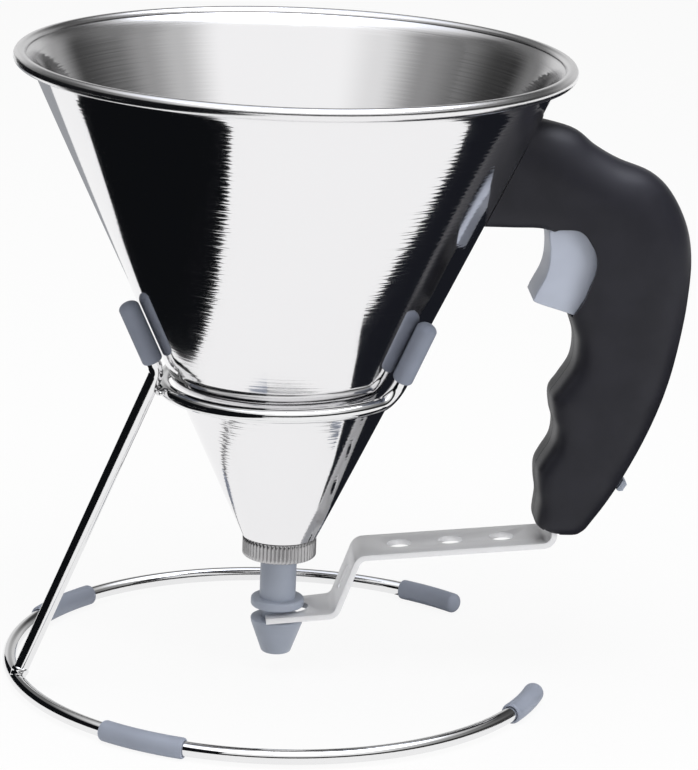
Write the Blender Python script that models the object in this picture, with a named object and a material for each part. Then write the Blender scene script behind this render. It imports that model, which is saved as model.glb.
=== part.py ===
"""Fondant funnel: a steel cone with a trigger handle, standing in its wire stand.

Frame: metres, +Z up. The part is made round the axis of the cone, standing on
the table, and is then moved so that the middle of its box lies over the origin.
The handle points along +X. The gap of the wire stand is turned a little from it.
"""
import math

import bmesh
import bpy
from mathutils import Matrix, Vector

MM = 0.001

# Fits
GAP = 0.3 * MM              # between pieces that touch
SLIDE_GAP = 0.4 * MM        # between pieces that move on each other
OVERRUN = 3.0 * MM          # how far a cutter runs past what it cuts
WELD = 0.0001 * MM          # points closer than this are one point

# Cone
RIM_RADIUS = 97.0 * MM
CONE_HEIGHT = 173.3 * MM    # from the cone's foot to the top of its rolled rim
CURL_RADIUS = 2.3 * MM      # outside of the rolled rim's section
CURL_SLIT = 0.5 * MM        # opening left where the curl meets the wall
SHEET = 0.9 * MM
CONE_FOOT_RADIUS = 13.5 * MM
CONE_FOOT_HEIGHT = 51.1 * MM

# Nut, spout and its gasket
NUT_RADIUS = 13.2 * MM
NUT_HEIGHT = 7.4 * MM
NUT_FLOOR = 1.8 * MM
NUT_CHAMFER = 0.5 * MM
KNURL_DEPTH = 0.45 * MM
KNURL_COUNT = 48
SPIGOT_RADIUS = 10.0 * MM
GASKET_THICK = 1.4 * MM
SPOUT_RISE = 8.6 * MM       # of the spout's collar above the cone's foot
SPOUT_LIP = 1.2 * MM        # drop of the collar's top towards its bore

# Nozzle
TIP_CLEARANCE = 7.1 * MM    # tip above the table
TIP_HEIGHT = 12.9 * MM
TIP_FOOT_RADIUS = 5.2 * MM
TIP_BAND_RADIUS = 9.2 * MM
TIP_BAND_HEIGHT = 1.8 * MM
FLANGE_RADIUS = 9.5 * MM
FLANGE_THICK = 3.2 * MM
EDGE_ROUND = 0.5 * MM
NECK_RADIUS = 5.2 * MM
GROOVE_HEIGHT = 4.4 * MM
TUBE_RADIUS = 6.45 * MM
NOZZLE_BORE = 3.1 * MM      # radius of the way through the nozzle
HEAD_THICK = 5.2 * MM       # closed end over the bore
PORT_WIDTH = 4.4 * MM
PORT_HEIGHT = 5.4 * MM
NOZZLE_LIFT = 8.9 * MM
SEAL_SECTION = 0.75 * MM    # radius of the ring's round section
SEAL_DEPTH = 1.75 * MM      # depth of its groove in the head

# Lever arm, a bent strip
LEVER_WIDTH = 23.0 * MM
LEVER_THICK = 2.0 * MM
FORK_WIDTH = 20.6 * MM
FORK_END = 4.3 * MM         # prong tips beyond the nozzle's axis
FORK_PLAY = 2.2 * MM        # room behind the neck for the fork's own slide
FORK_RISE = math.radians(7.0)
FORK_SEAT = 1.8 * MM        # middle of the strip above the nozzle's tip part
RISER_FOOT = 20.3 * MM
RISER_TOP = 28.0 * MM
RISER_HEIGHT = 21.7 * MM
RUN_RISE = math.radians(5.2)
BEND_RADIUS = 4.0 * MM
TAB_HEIGHT = 15.5 * MM
TAB_WIDTH = 18.0 * MM
LEVER_HOLE_RADIUS = 4.4 * MM
LEVER_HOLE_SPACING = 18.3 * MM
LEVER_HOLE_COUNT = 3
LEVER_HOLE_SIDES = 20
FIRST_HOLE = 15.0 * MM      # from the upper bend to the first hole
SLOT_LENGTH = 9.6 * MM
SLOT_WIDTH = 3.6 * MM

# Handle
HANDLE_REACH = 74.8 * MM        # from the cone at the neck's foot to the back
HANDLE_SHARE = 0.861            # height of the handle as a share of the cone's
NECK_FOOT_SHARE = 0.743         # underside of the neck in the handle's height
HANDLE_RISE = 6.3 * MM          # foot of the handle above the cone's foot
HANDLE_HALF_DEPTH = 15.3 * MM   # half the grip's thickness across its seam
HANDLE_WALL = 2.4 * MM
SEAM_GAP = 0.3 * MM
SECTION_SIDES = 20
RIB_STEPS = 2                   # sections made for each rib below

# Each rib of the handle: its front point and its back point as shares of the
# reach and the height, its half depth as a share of the grip's, and how boxy
# its front and its back are. The first rib lies inside the cone's wall, which
# trims the neck.
RIB_SHARES = (
    ((-0.093, 0.7315), (0.164, 0.991), 0.86, 6.0, 2.6),
    ((0.108, 0.7315), (0.387, 0.965), 0.86, 6.0, 2.3),
    ((0.255, 0.7315), (0.504, 0.924), 0.88, 6.0, 2.2),
    ((0.312, 0.717), (0.617, 0.893), 0.90, 5.5, 2.2),
    ((0.326, 0.683), (0.772, 0.863), 0.93, 5.0, 2.2),
    ((0.333, 0.647), (0.874, 0.816), 0.95, 5.0, 2.3),
    ((0.351, 0.600), (0.955, 0.737), 0.98, 5.0, 2.3),
    ((0.386, 0.550), (0.985, 0.654), 0.99, 5.0, 2.3),
    ((0.422, 0.503), (0.978, 0.554), 1.00, 5.0, 2.3),
    ((0.447, 0.460), (0.956, 0.467), 1.00, 5.0, 2.3),
    ((0.439, 0.403), (0.928, 0.391), 1.00, 5.0, 2.35),
    ((0.385, 0.355), (0.899, 0.334), 1.00, 5.0, 2.4),
    ((0.347, 0.324), (0.871, 0.290), 1.00, 5.0, 2.4),
    ((0.353, 0.283), (0.842, 0.251), 0.99, 5.0, 2.4),
    ((0.370, 0.250), (0.814, 0.218), 0.99, 5.0, 2.4),
    ((0.361, 0.208), (0.784, 0.185), 0.98, 5.0, 2.4),
    ((0.316, 0.167), (0.748, 0.149), 0.97, 5.0, 2.5),
    ((0.296, 0.142), (0.722, 0.124), 0.97, 5.0, 2.5),
    ((0.298, 0.107), (0.692, 0.098), 0.97, 5.0, 2.6),
    ((0.308, 0.070), (0.636, 0.055), 0.95, 4.5, 2.8),
    ((0.300, 0.018), (0.577, 0.016), 0.93, 4.0, 3.0),
    ((0.322, 0.001), (0.557, 0.003), 0.86, 3.6, 3.2),
    ((0.355, -0.008), (0.533, -0.008), 0.75, 3.2, 3.2),
)

# Edge of the shells round the trigger, as shares of reach and height
CUTOUT_SHARES = (
    (0.180, 0.7295), (0.300, 0.7295), (0.338, 0.7365), (0.412, 0.738),
    (0.452, 0.728), (0.482, 0.708), (0.508, 0.684), (0.517, 0.659),
    (0.510, 0.631), (0.489, 0.602), (0.471, 0.575), (0.447, 0.550),
    (0.405, 0.516), (0.240, 0.490), (0.180, 0.505),
)

# Trigger
TRIGGER_HALF_WIDTH = 9.9 * MM
TRIGGER_SWING = math.radians(10.5)
TRIGGER_PIVOT_SHARES = (0.536, 0.784)
TRIGGER_SHARES = (
    (0.296, 0.738), (0.301, 0.686), (0.300, 0.651), (0.286, 0.620),
    (0.256, 0.589), (0.239, 0.570), (0.245, 0.558), (0.367, 0.539),
    (0.460, 0.527), (0.520, 0.550), (0.562, 0.600), (0.590, 0.648),
    (0.603, 0.700), (0.602, 0.760), (0.596, 0.800), (0.560, 0.825),
    (0.510, 0.820), (0.440, 0.786), (0.380, 0.757),
)
TRIGGER_BEVEL = 2.0 * MM
TRIGGER_FACE = 3.0 * MM     # wall left between the finger face and the rod slot
WELL_GAP = 0.6 * MM

# Pins, rod and spring
PIVOT_RADIUS = 2.0 * MM
PIVOT_BOSS = 4.2 * MM
ROD_PIN_RADIUS = 1.2 * MM
ROD_THICK = 2.4 * MM
ROD_WIDTH = 2.4 * MM
ROD_WAY_SHARES = (0.34, 0.52)   # of the handle's height: its way past the grip's waist
ROD_EYE = 2.6 * MM
SMALL_SIDES = 12
SPRING_WIRE = 0.8 * MM      # diameter
SPRING_RADIUS = 3.2 * MM    # of the coil's middle line
SPRING_CURLS = 4
SPRING_CURL_POINTS = 10
SPRING_PITCH = 2.1 * MM
SHELF_THICK = 2.4 * MM

# Lever carrier
LEVER_PIVOT_SHARES = (0.537, 0.0757)
CARRIER_HALF_WIDTH = 6.5 * MM
CARRIER_HUB = 4.8 * MM
HUB_START = math.radians(-108.0)    # of the rounded side of the hub
HUB_END = math.radians(90.0)
CARRIER_ARM = 11.0 * MM     # from the pivot to the rod's lower pin
CARRIER_GRIP = 6.6 * MM     # of the tab held by the carrier
ARM_LIFT = 4.0 * MM         # of that pin above the pivot
TAB_SETBACK_SHARE = 0.1444  # of the reach, from the pivot to the strip's tab
LEVER_SCREW_RADIUS = 1.5 * MM
LEVER_SCREW_HEAD = 2.8 * MM
LEVER_SCREW_SPACING = 8.0 * MM

# Screws through the shells
SCREW_RADIUS = 1.5 * MM
SCREW_HEAD_RADIUS = 2.8 * MM
SCREW_HEAD_THICK = 1.8 * MM
SCREW_BOSS = 3.8 * MM
SCREW_TIP_COVER = 3.2 * MM  # of shell left in front of a screw's tip
SCREW_HEAD_SINK = 3.6 * MM  # of a head's top below the widest part
GRIP_SCREW_SHARES = ((0.805, 0.690), (0.765, 0.392), (0.680, 0.200))
NECK_SCREW_SHARES = ((0.165, 0.830), (0.320, 0.868))
SCREW_NAMES = ("grip_screw_top", "grip_screw_middle", "grip_screw_foot",
               "neck_screw_inner", "neck_screw_outer")

# Bracket that joins the neck to the cone
BRACKET_HALF_WIDTH = 8.0 * MM
BRACKET_SHEET = 1.6 * MM
BRACKET_PLATE = 2.4 * MM
BRACKET_SHARES = (
    (-0.060, 0.790), (0.200, 0.782), (0.385, 0.835),
    (0.385, 0.895), (0.230, 0.929), (0.060, 0.950),
)

# Flow selector, a slider in the back of the grip
SELECTOR_SHARES = (0.699, 0.104)
SELECTOR_TRAVEL = 6.0 * MM
SELECTOR_SLOPE = math.radians(59.0)
SELECTOR_NUB = 4.4 * MM
SELECTOR_NUB_RISE = 3.0 * MM
SELECTOR_NUB_WIDTH = 5.0 * MM
SELECTOR_STEM = 2.6 * MM
SELECTOR_PLATE = 1.4 * MM
SELECTOR_PLATE_LENGTH = 6.0 * MM
SELECTOR_PLATE_WIDTH = 8.0 * MM

# Wire stand
WIRE_RADIUS = 2.6 * MM
SLEEVE_RADIUS = 3.8 * MM
SLEEVE_LENGTH = 31.6 * MM
SLEEVE_ROUND = 0.8 * MM
CAP_LENGTH = 26.0 * MM
BASE_RING_RADIUS = 95.2 * MM
STAND_TURN = math.radians(12.0)     # of the stand's gap from the handle
BASE_HALF_GAP = math.radians(30.5)
BASE_SLEEVE_TURN = math.radians(47.5)   # of a mid sleeve from the leg
UPPER_RING_HEIGHT = 107.6 * MM
UPPER_RING_DIP = 1.4 * MM           # at the leg, as much higher at the gap
UPPER_RING_CLEARANCE = 1.2 * MM
PRONG_SPREAD = math.radians(48.5)   # of a front prong from the gap's middle
PRONG_RISE = 28.1 * MM              # end of a prong above the ring
PRONG_BEND = 7.0 * MM
PRONG_SLEEVE_LENGTH = 23.6 * MM
LEG_BEND_RADIUS = 6.0 * MM
LEG_RISE = 1.2 * MM                 # of the leg's end above the prongs' ends
LEG_CLEARANCE = 0.85 * MM           # from the leg to the upper ring, for the weld
LEG_TURN = math.radians(2.5)        # of the leg from the middle of the ring
CAP_END = 1.8 * MM          # of soft cap past the end of its wire

# Facets
CONE_SIDES = 64
CURL_SIDES = 8
TURNED_SIDES = 32
PIN_SIDES = 16
WIRE_SIDES = 12
RING_STEP = math.radians(6.0)
BEND_STEPS = 5

COLOURS = {
    "polished_steel": ((0.80, 0.80, 0.81, 1.0), 1.0, 0.12),
    "satin_steel": ((0.72, 0.72, 0.74, 1.0), 1.0, 0.32),
    "chrome": ((0.86, 0.86, 0.87, 1.0), 1.0, 0.05),
    "grey_plastic": ((0.33, 0.37, 0.43, 1.0), 0.0, 0.45),
    "black_plastic": ((0.022, 0.022, 0.026, 1.0), 0.0, 0.42),
    "soft_grey": ((0.30, 0.33, 0.38, 1.0), 0.0, 0.60),
    "seal_rubber": ((0.05, 0.05, 0.055, 1.0), 0.0, 0.70),
    "spring_steel": ((0.55, 0.55, 0.57, 1.0), 1.0, 0.30),
}

# Heights and radii that follow from the sizes above
RIM_HEIGHT = CONE_FOOT_HEIGHT + CONE_HEIGHT
CURL_HEIGHT = RIM_HEIGHT - CURL_RADIUS
WALL_TOP_RADIUS = RIM_RADIUS - 2 * CURL_RADIUS
WALL_SLOPE = (WALL_TOP_RADIUS - CONE_FOOT_RADIUS) / (CURL_HEIGHT - CONE_FOOT_HEIGHT)
CONE_HALF_ANGLE = math.atan(WALL_SLOPE)
WALL_ACROSS = SHEET / math.cos(CONE_HALF_ANGLE)
NUT_TOP = CONE_FOOT_HEIGHT - GAP
NUT_FOOT = NUT_TOP - NUT_HEIGHT
BORE_RADIUS = TUBE_RADIUS + GAP
SPIGOT_FOOT = NUT_FOOT + NUT_FLOOR + GAP + GASKET_THICK + GAP
SPOUT_TOP = CONE_FOOT_HEIGHT + SPOUT_RISE
TIP_TOP = TIP_CLEARANCE + TIP_HEIGHT
FLANGE_FOOT = TIP_TOP + GROOVE_HEIGHT
FLANGE_TOP = FLANGE_FOOT + FLANGE_THICK
NOZZLE_TOP = SPOUT_TOP + SPOUT_LIP
FORK_HEIGHT = TIP_TOP + FORK_SEAT
BASE_RING_HEIGHT = SLEEVE_RADIUS * math.cos(math.pi / WIRE_SIDES)
PRONG_TOP = UPPER_RING_HEIGHT + PRONG_RISE
HANDLE_HEIGHT = HANDLE_SHARE * CONE_HEIGHT
HANDLE_FOOT_HEIGHT = CONE_FOOT_HEIGHT + HANDLE_RISE
NECK_FOOT_HEIGHT = HANDLE_FOOT_HEIGHT + NECK_FOOT_SHARE * HANDLE_HEIGHT
TAB_SETBACK = TAB_SETBACK_SHARE * HANDLE_REACH


def wall_radius(height):
    """Outer radius of the cone's wall at a height."""
    return WALL_TOP_RADIUS - (CURL_HEIGHT - height) * WALL_SLOPE


NECK_FOOT_X = wall_radius(NECK_FOOT_HEIGHT)


def handle_point(shares):
    """A place in the handle's middle plane, from its shares."""
    return (NECK_FOOT_X + shares[0] * HANDLE_REACH,
            HANDLE_FOOT_HEIGHT + shares[1] * HANDLE_HEIGHT)


TRIGGER_PIVOT = handle_point(TRIGGER_PIVOT_SHARES)
LEVER_PIVOT = handle_point(LEVER_PIVOT_SHARES)
TAB_X = LEVER_PIVOT[0] - TAB_SETBACK
LEVER_SWING = math.asin(NOZZLE_LIFT / LEVER_PIVOT[0])
CRANK = CARRIER_ARM * math.sin(LEVER_SWING) / math.sin(TRIGGER_SWING)
ROD_LOWER = (LEVER_PIVOT[0] - CARRIER_ARM, LEVER_PIVOT[1] + ARM_LIFT)
ROD_UPPER = (TRIGGER_PIVOT[0] + CRANK, TRIGGER_PIVOT[1])


# Building blocks

def clear_scene():
    for obj in list(bpy.data.objects):
        bpy.data.objects.remove(obj, do_unlink=True)


def make_material(name):
    colour, metallic, roughness = COLOURS[name]
    material = bpy.data.materials.get(name) or bpy.data.materials.new(name)
    material.use_nodes = True
    material.diffuse_color = colour
    shader = material.node_tree.nodes["Principled BSDF"]
    shader.inputs["Base Color"].default_value = colour
    shader.inputs["Metallic"].default_value = metallic
    shader.inputs["Roughness"].default_value = roughness
    return material


def make_object(name, bm):
    """Turn a bmesh into an object with its faces pointing out."""
    bmesh.ops.remove_doubles(bm, verts=bm.verts, dist=WELD)
    bmesh.ops.recalc_face_normals(bm, faces=bm.faces)
    mesh = bpy.data.meshes.new(name)
    bm.to_mesh(mesh)
    bm.free()
    obj = bpy.data.objects.new(name, mesh)
    bpy.context.collection.objects.link(obj)
    return obj


def finish(obj, material, pivot=None, smooth=math.radians(32)):
    """Give an object its material, its shading and its origin."""
    mesh = obj.data
    mesh.materials.clear()
    mesh.materials.append(make_material(material))
    mesh.shade_smooth()
    mesh.set_sharp_from_angle(angle=smooth)
    if pivot is not None:
        mesh.transform(Matrix.Translation(-Vector(pivot)))
        obj.location = pivot
    return obj


def bridge(bm, ring_a, ring_b):
    """Faces between two rings, either of which may be a single point."""
    count = max(len(ring_a), len(ring_b))
    for i in range(count):
        j = (i + 1) % count
        corners = []
        for ring, index in ((ring_a, i), (ring_a, j), (ring_b, j), (ring_b, i)):
            vert = ring[index % len(ring)]
            if vert not in corners:
                corners.append(vert)
        bm.faces.new(corners)


def skin(rings, closed=False):
    """A bmesh through rings of points, capped at its ends unless closed."""
    bm = bmesh.new()
    made = [[bm.verts.new(point) for point in ring] for ring in rings]
    for first, second in zip(made, made[1:]):
        bridge(bm, first, second)
    if closed:
        bridge(bm, made[-1], made[0])
    else:
        for ring in (made[0], made[-1]):
            if len(ring) > 2:
                bm.faces.new(ring)
    return bm


def turned(name, profile, sides=TURNED_SIDES, closed=True):
    """Turn a profile of (radius, height) points round the Z axis."""
    rings = []
    for radius, height in profile:
        if radius == 0:
            rings.append([(0, 0, height)])
            continue
        rings.append([(radius * math.cos(turn), radius * math.sin(turn), height)
                      for turn in (2 * math.pi * i / sides for i in range(sides))])
    return make_object(name, skin(rings, closed))


def prism(name, outline, low, high):
    """An outline of (x, z) points drawn out along Y from low to high."""
    rings = [[(x, y, z) for x, z in outline] for y in (low, high)]
    return make_object(name, skin(rings))


def pin(name, centre, radius, low, high, axis="Y", sides=PIN_SIDES):
    """A round bar along an axis; centre gives the other two coordinates."""
    rings = []
    for along in (low, high):
        ring = []
        for i in range(sides):
            turn = 2 * math.pi * (i + 0.5) / sides
            u = centre[0] + radius * math.cos(turn)
            v = centre[1] + radius * math.sin(turn)
            ring.append({"X": (along, u, v), "Y": (u, along, v),
                         "Z": (u, v, along)}[axis])
        rings.append(ring)
    return make_object(name, skin(rings))


def block(name, low, high):
    """A box between two corners."""
    outline = ((low[0], low[2]), (high[0], low[2]),
               (high[0], high[2]), (low[0], high[2]))
    return prism(name, outline, low[1], high[1])


def combine(target, other, operation="DIFFERENCE", keep=False):
    """Cut, join or intersect an object with another, which then goes."""
    modifier = target.modifiers.new("combine", "BOOLEAN")
    modifier.operation = operation
    modifier.solver = "EXACT"
    modifier.object = other
    depsgraph = bpy.context.evaluated_depsgraph_get()
    depsgraph.update()
    result = bpy.data.meshes.new_from_object(target.evaluated_get(depsgraph))
    target.modifiers.clear()
    bm = bmesh.new()
    bm.from_mesh(result)
    bmesh.ops.dissolve_degenerate(bm, edges=bm.edges, dist=WELD)
    bm.to_mesh(target.data)
    bm.free()
    bpy.data.meshes.remove(result)
    if not keep:
        bpy.data.objects.remove(other, do_unlink=True)
    return target


def copy_of(obj, name):
    twin = bpy.data.objects.new(name, obj.data.copy())
    bpy.context.collection.objects.link(twin)
    return twin


def smooth_between(values, step, steps):
    """A point of the smooth curve through a list of equal tuples."""
    index, part = divmod(step, steps)
    last = len(values) - 1
    if index >= last:
        return values[last]
    t = part / steps
    before = values[max(index - 1, 0)]
    start, end = values[index], values[index + 1]
    after = values[min(index + 2, last)]
    point = []
    for a, b, c, d in zip(before, start, end, after):
        bend = (2 * a - 5 * b + 4 * c - d) * t + (3 * b - a - 3 * c + d) * t * t
        point.append(b + ((c - a) + bend) * t / 2)
    return tuple(point)


def rounded_path(corners, radius):
    """An open outline in (x, z) whose inner corners are rounded."""
    path = [Vector(corners[0])]
    for before, corner, after in zip(corners, corners[1:], corners[2:]):
        corner = Vector(corner)
        back = (Vector(before) - corner).normalized()
        ahead = (Vector(after) - corner).normalized()
        half = back.angle(ahead) / 2
        reach = radius / math.tan(half)
        centre = corner + (back + ahead).normalized() * radius / math.sin(half)
        start = corner + back * reach - centre
        end = corner + ahead * reach - centre
        for i in range(BEND_STEPS + 1):
            t = i / BEND_STEPS
            mixed = start * math.sin((1 - t) * start.angle(end))
            mixed += end * math.sin(t * start.angle(end))
            path.append(centre + mixed.normalized() * radius)
    path.append(Vector(corners[-1]))
    return path


class Wire:
    """A route through space with a frame carried along it."""

    def __init__(self, points, first_side):
        self.points = [Vector(point) for point in points]
        self.reach = [0.0]
        for start, end in zip(self.points, self.points[1:]):
            self.reach.append(self.reach[-1] + (end - start).length)
        self.length = self.reach[-1]
        self.frames = []
        side = Vector(first_side)
        last = len(self.points) - 1
        for i in range(len(self.points)):
            ahead = self.points[min(i + 1, last)] - self.points[max(i - 1, 0)]
            ahead.normalize()
            side = (side - ahead * side.dot(ahead)).normalized()
            self.frames.append((ahead, side.copy()))

    def frame(self, along):
        """Centre, side and cross directions at a length along the route."""
        index = 0
        while index < len(self.points) - 2 and self.reach[index + 1] < along:
            index += 1
        span = self.reach[index + 1] - self.reach[index]
        t = (along - self.reach[index]) / span
        centre = self.points[index].lerp(self.points[index + 1], t)
        share = min(max(t, 0.0), 1.0)
        ahead = self.frames[index][0].lerp(self.frames[index + 1][0], share)
        side = self.frames[index][1].lerp(self.frames[index + 1][1], share)
        ahead.normalize()
        side = (side - ahead * side.dot(ahead)).normalized()
        return centre, side, ahead.cross(side)

    def sweep(self, name, stations, sides=WIRE_SIDES, closed=False):
        """A round body through (length along the route, radius) stations."""
        rings = []
        for along, radius in stations:
            centre, side, cross = self.frame(along)
            if radius == 0:
                rings.append([centre])
                continue
            ring = []
            for i in range(sides):
                turn = 2 * math.pi * (i + 0.5) / sides
                ring.append(centre + radius * math.cos(turn) * side
                            + radius * math.sin(turn) * cross)
            rings.append(ring)
        return make_object(name, skin(rings, closed))

    def rod(self, name, radius, sides=WIRE_SIDES):
        return self.sweep(name, [(along, radius) for along in self.reach], sides)


def soft_ends(radius, start, end, steps):
    """Stations of a soft sleeve's outside, with its two ends rounded."""
    reach = SLEEVE_ROUND
    small = radius - reach
    mid = radius - reach * (1 - math.sin(math.pi / 4))
    inset = reach * (1 - math.cos(math.pi / 4))
    stations = [(start, small), (start + inset, mid)]
    for i in range(steps + 1):
        along = start + reach + (end - start - 2 * reach) * i / steps
        stations.append((along, radius))
    stations += [(end - inset, mid), (end, small)]
    return stations


def sleeve(name, wire, start, end, steps):
    """A soft sleeve on a wire, open at both ends."""
    bore = WIRE_RADIUS + GAP
    inside = [(end + (start - end) * i / steps, bore) for i in range(steps + 1)]
    stations = soft_ends(SLEEVE_RADIUS, start, end, steps) + inside
    return finish(wire.sweep(name, stations, closed=True), "soft_grey")


def cap(name, wire, mouth, tip, steps):
    """A soft cap on a wire's end: open at its mouth, closed at its tip."""
    bore = WIRE_RADIUS + GAP
    sign = 1 if tip > mouth else -1
    outside = soft_ends(SLEEVE_RADIUS, mouth, tip, steps) if sign > 0 else [
        (mouth + tip - along, radius)
        for along, radius in soft_ends(SLEEVE_RADIUS, tip, mouth, steps)]
    floor = tip - sign * (CAP_END - GAP)
    inside = [(mouth + (floor - mouth) * i / steps, bore) for i in range(steps + 1)]
    stations = [(floor, 0)] + inside[::-1] + outside + [(tip, 0)]
    return finish(wire.sweep(name, stations), "soft_grey")


# Cone, spout, nut and gasket

def curl_point(radius, turn):
    centre = RIM_RADIUS - CURL_RADIUS
    return (centre + radius * math.cos(turn), CURL_HEIGHT + radius * math.sin(turn))


def funnel_cone():
    """Spun cone whose rim is rolled outwards into an open curl."""
    inner = CURL_RADIUS - SHEET
    start = math.pi
    stop = -math.pi + math.asin((SHEET + CURL_SLIT) / CURL_RADIUS) + SHEET / CURL_RADIUS
    turns = [start + (stop - start) * i / CURL_SIDES for i in range(CURL_SIDES + 1)]
    profile = [(wall_radius(CONE_FOOT_HEIGHT), CONE_FOOT_HEIGHT)]
    profile.append((wall_radius(CURL_HEIGHT - CURL_RADIUS), CURL_HEIGHT - CURL_RADIUS))
    profile += [curl_point(inner, turn) for turn in turns]
    profile += [curl_point(CURL_RADIUS, turn) for turn in turns[::-1][:-1]]
    profile.append((WALL_TOP_RADIUS - SHEET / 2, CURL_HEIGHT))
    profile.append((wall_radius(CONE_FOOT_HEIGHT) - WALL_ACROSS, CONE_FOOT_HEIGHT))
    return finish(turned("funnel_cone", profile, CONE_SIDES), "polished_steel")


def spout_socket():
    """Turned outlet in the cone's foot: a collar inside, a spigot below."""
    inside = WALL_ACROSS + GAP / math.cos(CONE_HALF_ANGLE)
    step = CONE_FOOT_HEIGHT + GAP
    profile = [
        (BORE_RADIUS, SPIGOT_FOOT),
        (SPIGOT_RADIUS, SPIGOT_FOOT),
        (SPIGOT_RADIUS, step),
        (wall_radius(step) - inside, step),
        (wall_radius(SPOUT_TOP) - inside, SPOUT_TOP),
        (BORE_RADIUS + SPOUT_LIP, SPOUT_TOP - SPOUT_LIP / 2),
        (BORE_RADIUS, SPOUT_TOP - SPOUT_LIP),
    ]
    return finish(turned("spout_socket", profile), "satin_steel")


def spout_gasket():
    """Flat ring that the nut presses against the spigot."""
    low = NUT_FOOT + NUT_FLOOR + GAP
    profile = [
        (TUBE_RADIUS + GAP, low), (SPIGOT_RADIUS - GAP, low),
        (SPIGOT_RADIUS - GAP, low + GASKET_THICK),
        (TUBE_RADIUS + GAP, low + GASKET_THICK),
    ]
    return finish(turned("spout_gasket", profile), "seal_rubber")


def knurled_nut():
    """Ring nut with flutes round its outside."""
    sides = 2 * KNURL_COUNT
    root = NUT_RADIUS - KNURL_DEPTH

    def ring(radius, height, fluted):
        points = []
        for i in range(sides):
            turn = 2 * math.pi * i / sides
            reach = radius if i % 2 or not fluted else radius - KNURL_DEPTH
            points.append((reach * math.cos(turn), reach * math.sin(turn), height))
        return points

    floor = NUT_FOOT + NUT_FLOOR
    rings = [
        ring(TUBE_RADIUS + SLIDE_GAP, NUT_FOOT, False),
        ring(root - NUT_CHAMFER, NUT_FOOT, False),
        ring(NUT_RADIUS, NUT_FOOT + NUT_CHAMFER, True),
        ring(NUT_RADIUS, NUT_TOP - NUT_CHAMFER, True),
        ring(root - NUT_CHAMFER, NUT_TOP, False),
        ring(SPIGOT_RADIUS + GAP, NUT_TOP, False),
        ring(SPIGOT_RADIUS + GAP, floor, False),
        ring(TUBE_RADIUS + SLIDE_GAP, floor, False),
    ]
    nut = make_object("knurled_nut", skin(rings, closed=True))
    return finish(nut, "satin_steel", (0, 0, NUT_FOOT))


# Nozzle and its seal

def nozzle():
    """Sliding nozzle: open below, closed above, with ports under its head."""
    band = TIP_TOP - TIP_BAND_HEIGHT
    seal = seal_height()
    half_groove = SEAL_SECTION + GAP
    groove = TUBE_RADIUS - SEAL_DEPTH
    profile = [
        (0, NOZZLE_TOP - HEAD_THICK),
        (NOZZLE_BORE, NOZZLE_TOP - HEAD_THICK),
        (NOZZLE_BORE, TIP_CLEARANCE),
        (TIP_FOOT_RADIUS - EDGE_ROUND, TIP_CLEARANCE),
        (TIP_FOOT_RADIUS, TIP_CLEARANCE + EDGE_ROUND),
        (TIP_BAND_RADIUS, band),
        (FLANGE_RADIUS, TIP_TOP - EDGE_ROUND),
        (FLANGE_RADIUS - EDGE_ROUND, TIP_TOP),
        (NECK_RADIUS, TIP_TOP),
        (NECK_RADIUS, FLANGE_FOOT),
        (FLANGE_RADIUS - EDGE_ROUND, FLANGE_FOOT),
        (FLANGE_RADIUS, FLANGE_FOOT + EDGE_ROUND),
        (FLANGE_RADIUS, FLANGE_TOP - EDGE_ROUND),
        (FLANGE_RADIUS - EDGE_ROUND, FLANGE_TOP),
        (TUBE_RADIUS, FLANGE_TOP),
        (TUBE_RADIUS, seal - half_groove),
        (groove, seal - half_groove),
        (groove, seal + half_groove),
        (TUBE_RADIUS, seal + half_groove),
        (TUBE_RADIUS, NOZZLE_TOP - EDGE_ROUND),
        (TUBE_RADIUS - EDGE_ROUND, NOZZLE_TOP),
        (0, NOZZLE_TOP),
    ]
    body = turned("nozzle", profile, closed=False)
    top = NOZZLE_TOP - HEAD_THICK
    half = PORT_WIDTH / 2
    reach = TUBE_RADIUS + OVERRUN
    for across in ((half, reach), (reach, half)):
        port = block("port", (-across[0], -across[1], top - PORT_HEIGHT),
                     (across[0], across[1], top - GAP))
        combine(body, port)
    return finish(body, "grey_plastic", (0, 0, TIP_CLEARANCE))


def seal_height():
    """Height of the middle of the seal in the closed head."""
    return NOZZLE_TOP - HEAD_THICK / 2 - GAP


def nozzle_seal():
    middle = TUBE_RADIUS - SEAL_DEPTH + GAP + SEAL_SECTION
    steps = 8
    profile = [(middle + SEAL_SECTION * math.cos(2 * math.pi * i / steps),
                seal_height() + SEAL_SECTION * math.sin(2 * math.pi * i / steps))
               for i in range(steps)]
    return finish(turned("nozzle_seal", profile), "seal_rubber")


# Lever arm

def lever_corners():
    """Middle line of the strip from its prongs to the tab in the handle."""
    fork = (-FORK_END, FORK_HEIGHT - FORK_END * math.tan(FORK_RISE))
    foot = (RISER_FOOT, FORK_HEIGHT + RISER_FOOT * math.tan(FORK_RISE))
    top = (RISER_TOP, foot[1] + RISER_HEIGHT)
    knee = (TAB_X, top[1] + (TAB_X - RISER_TOP) * math.tan(RUN_RISE))
    return fork, foot, top, knee, (TAB_X, knee[1] + TAB_HEIGHT)


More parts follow.
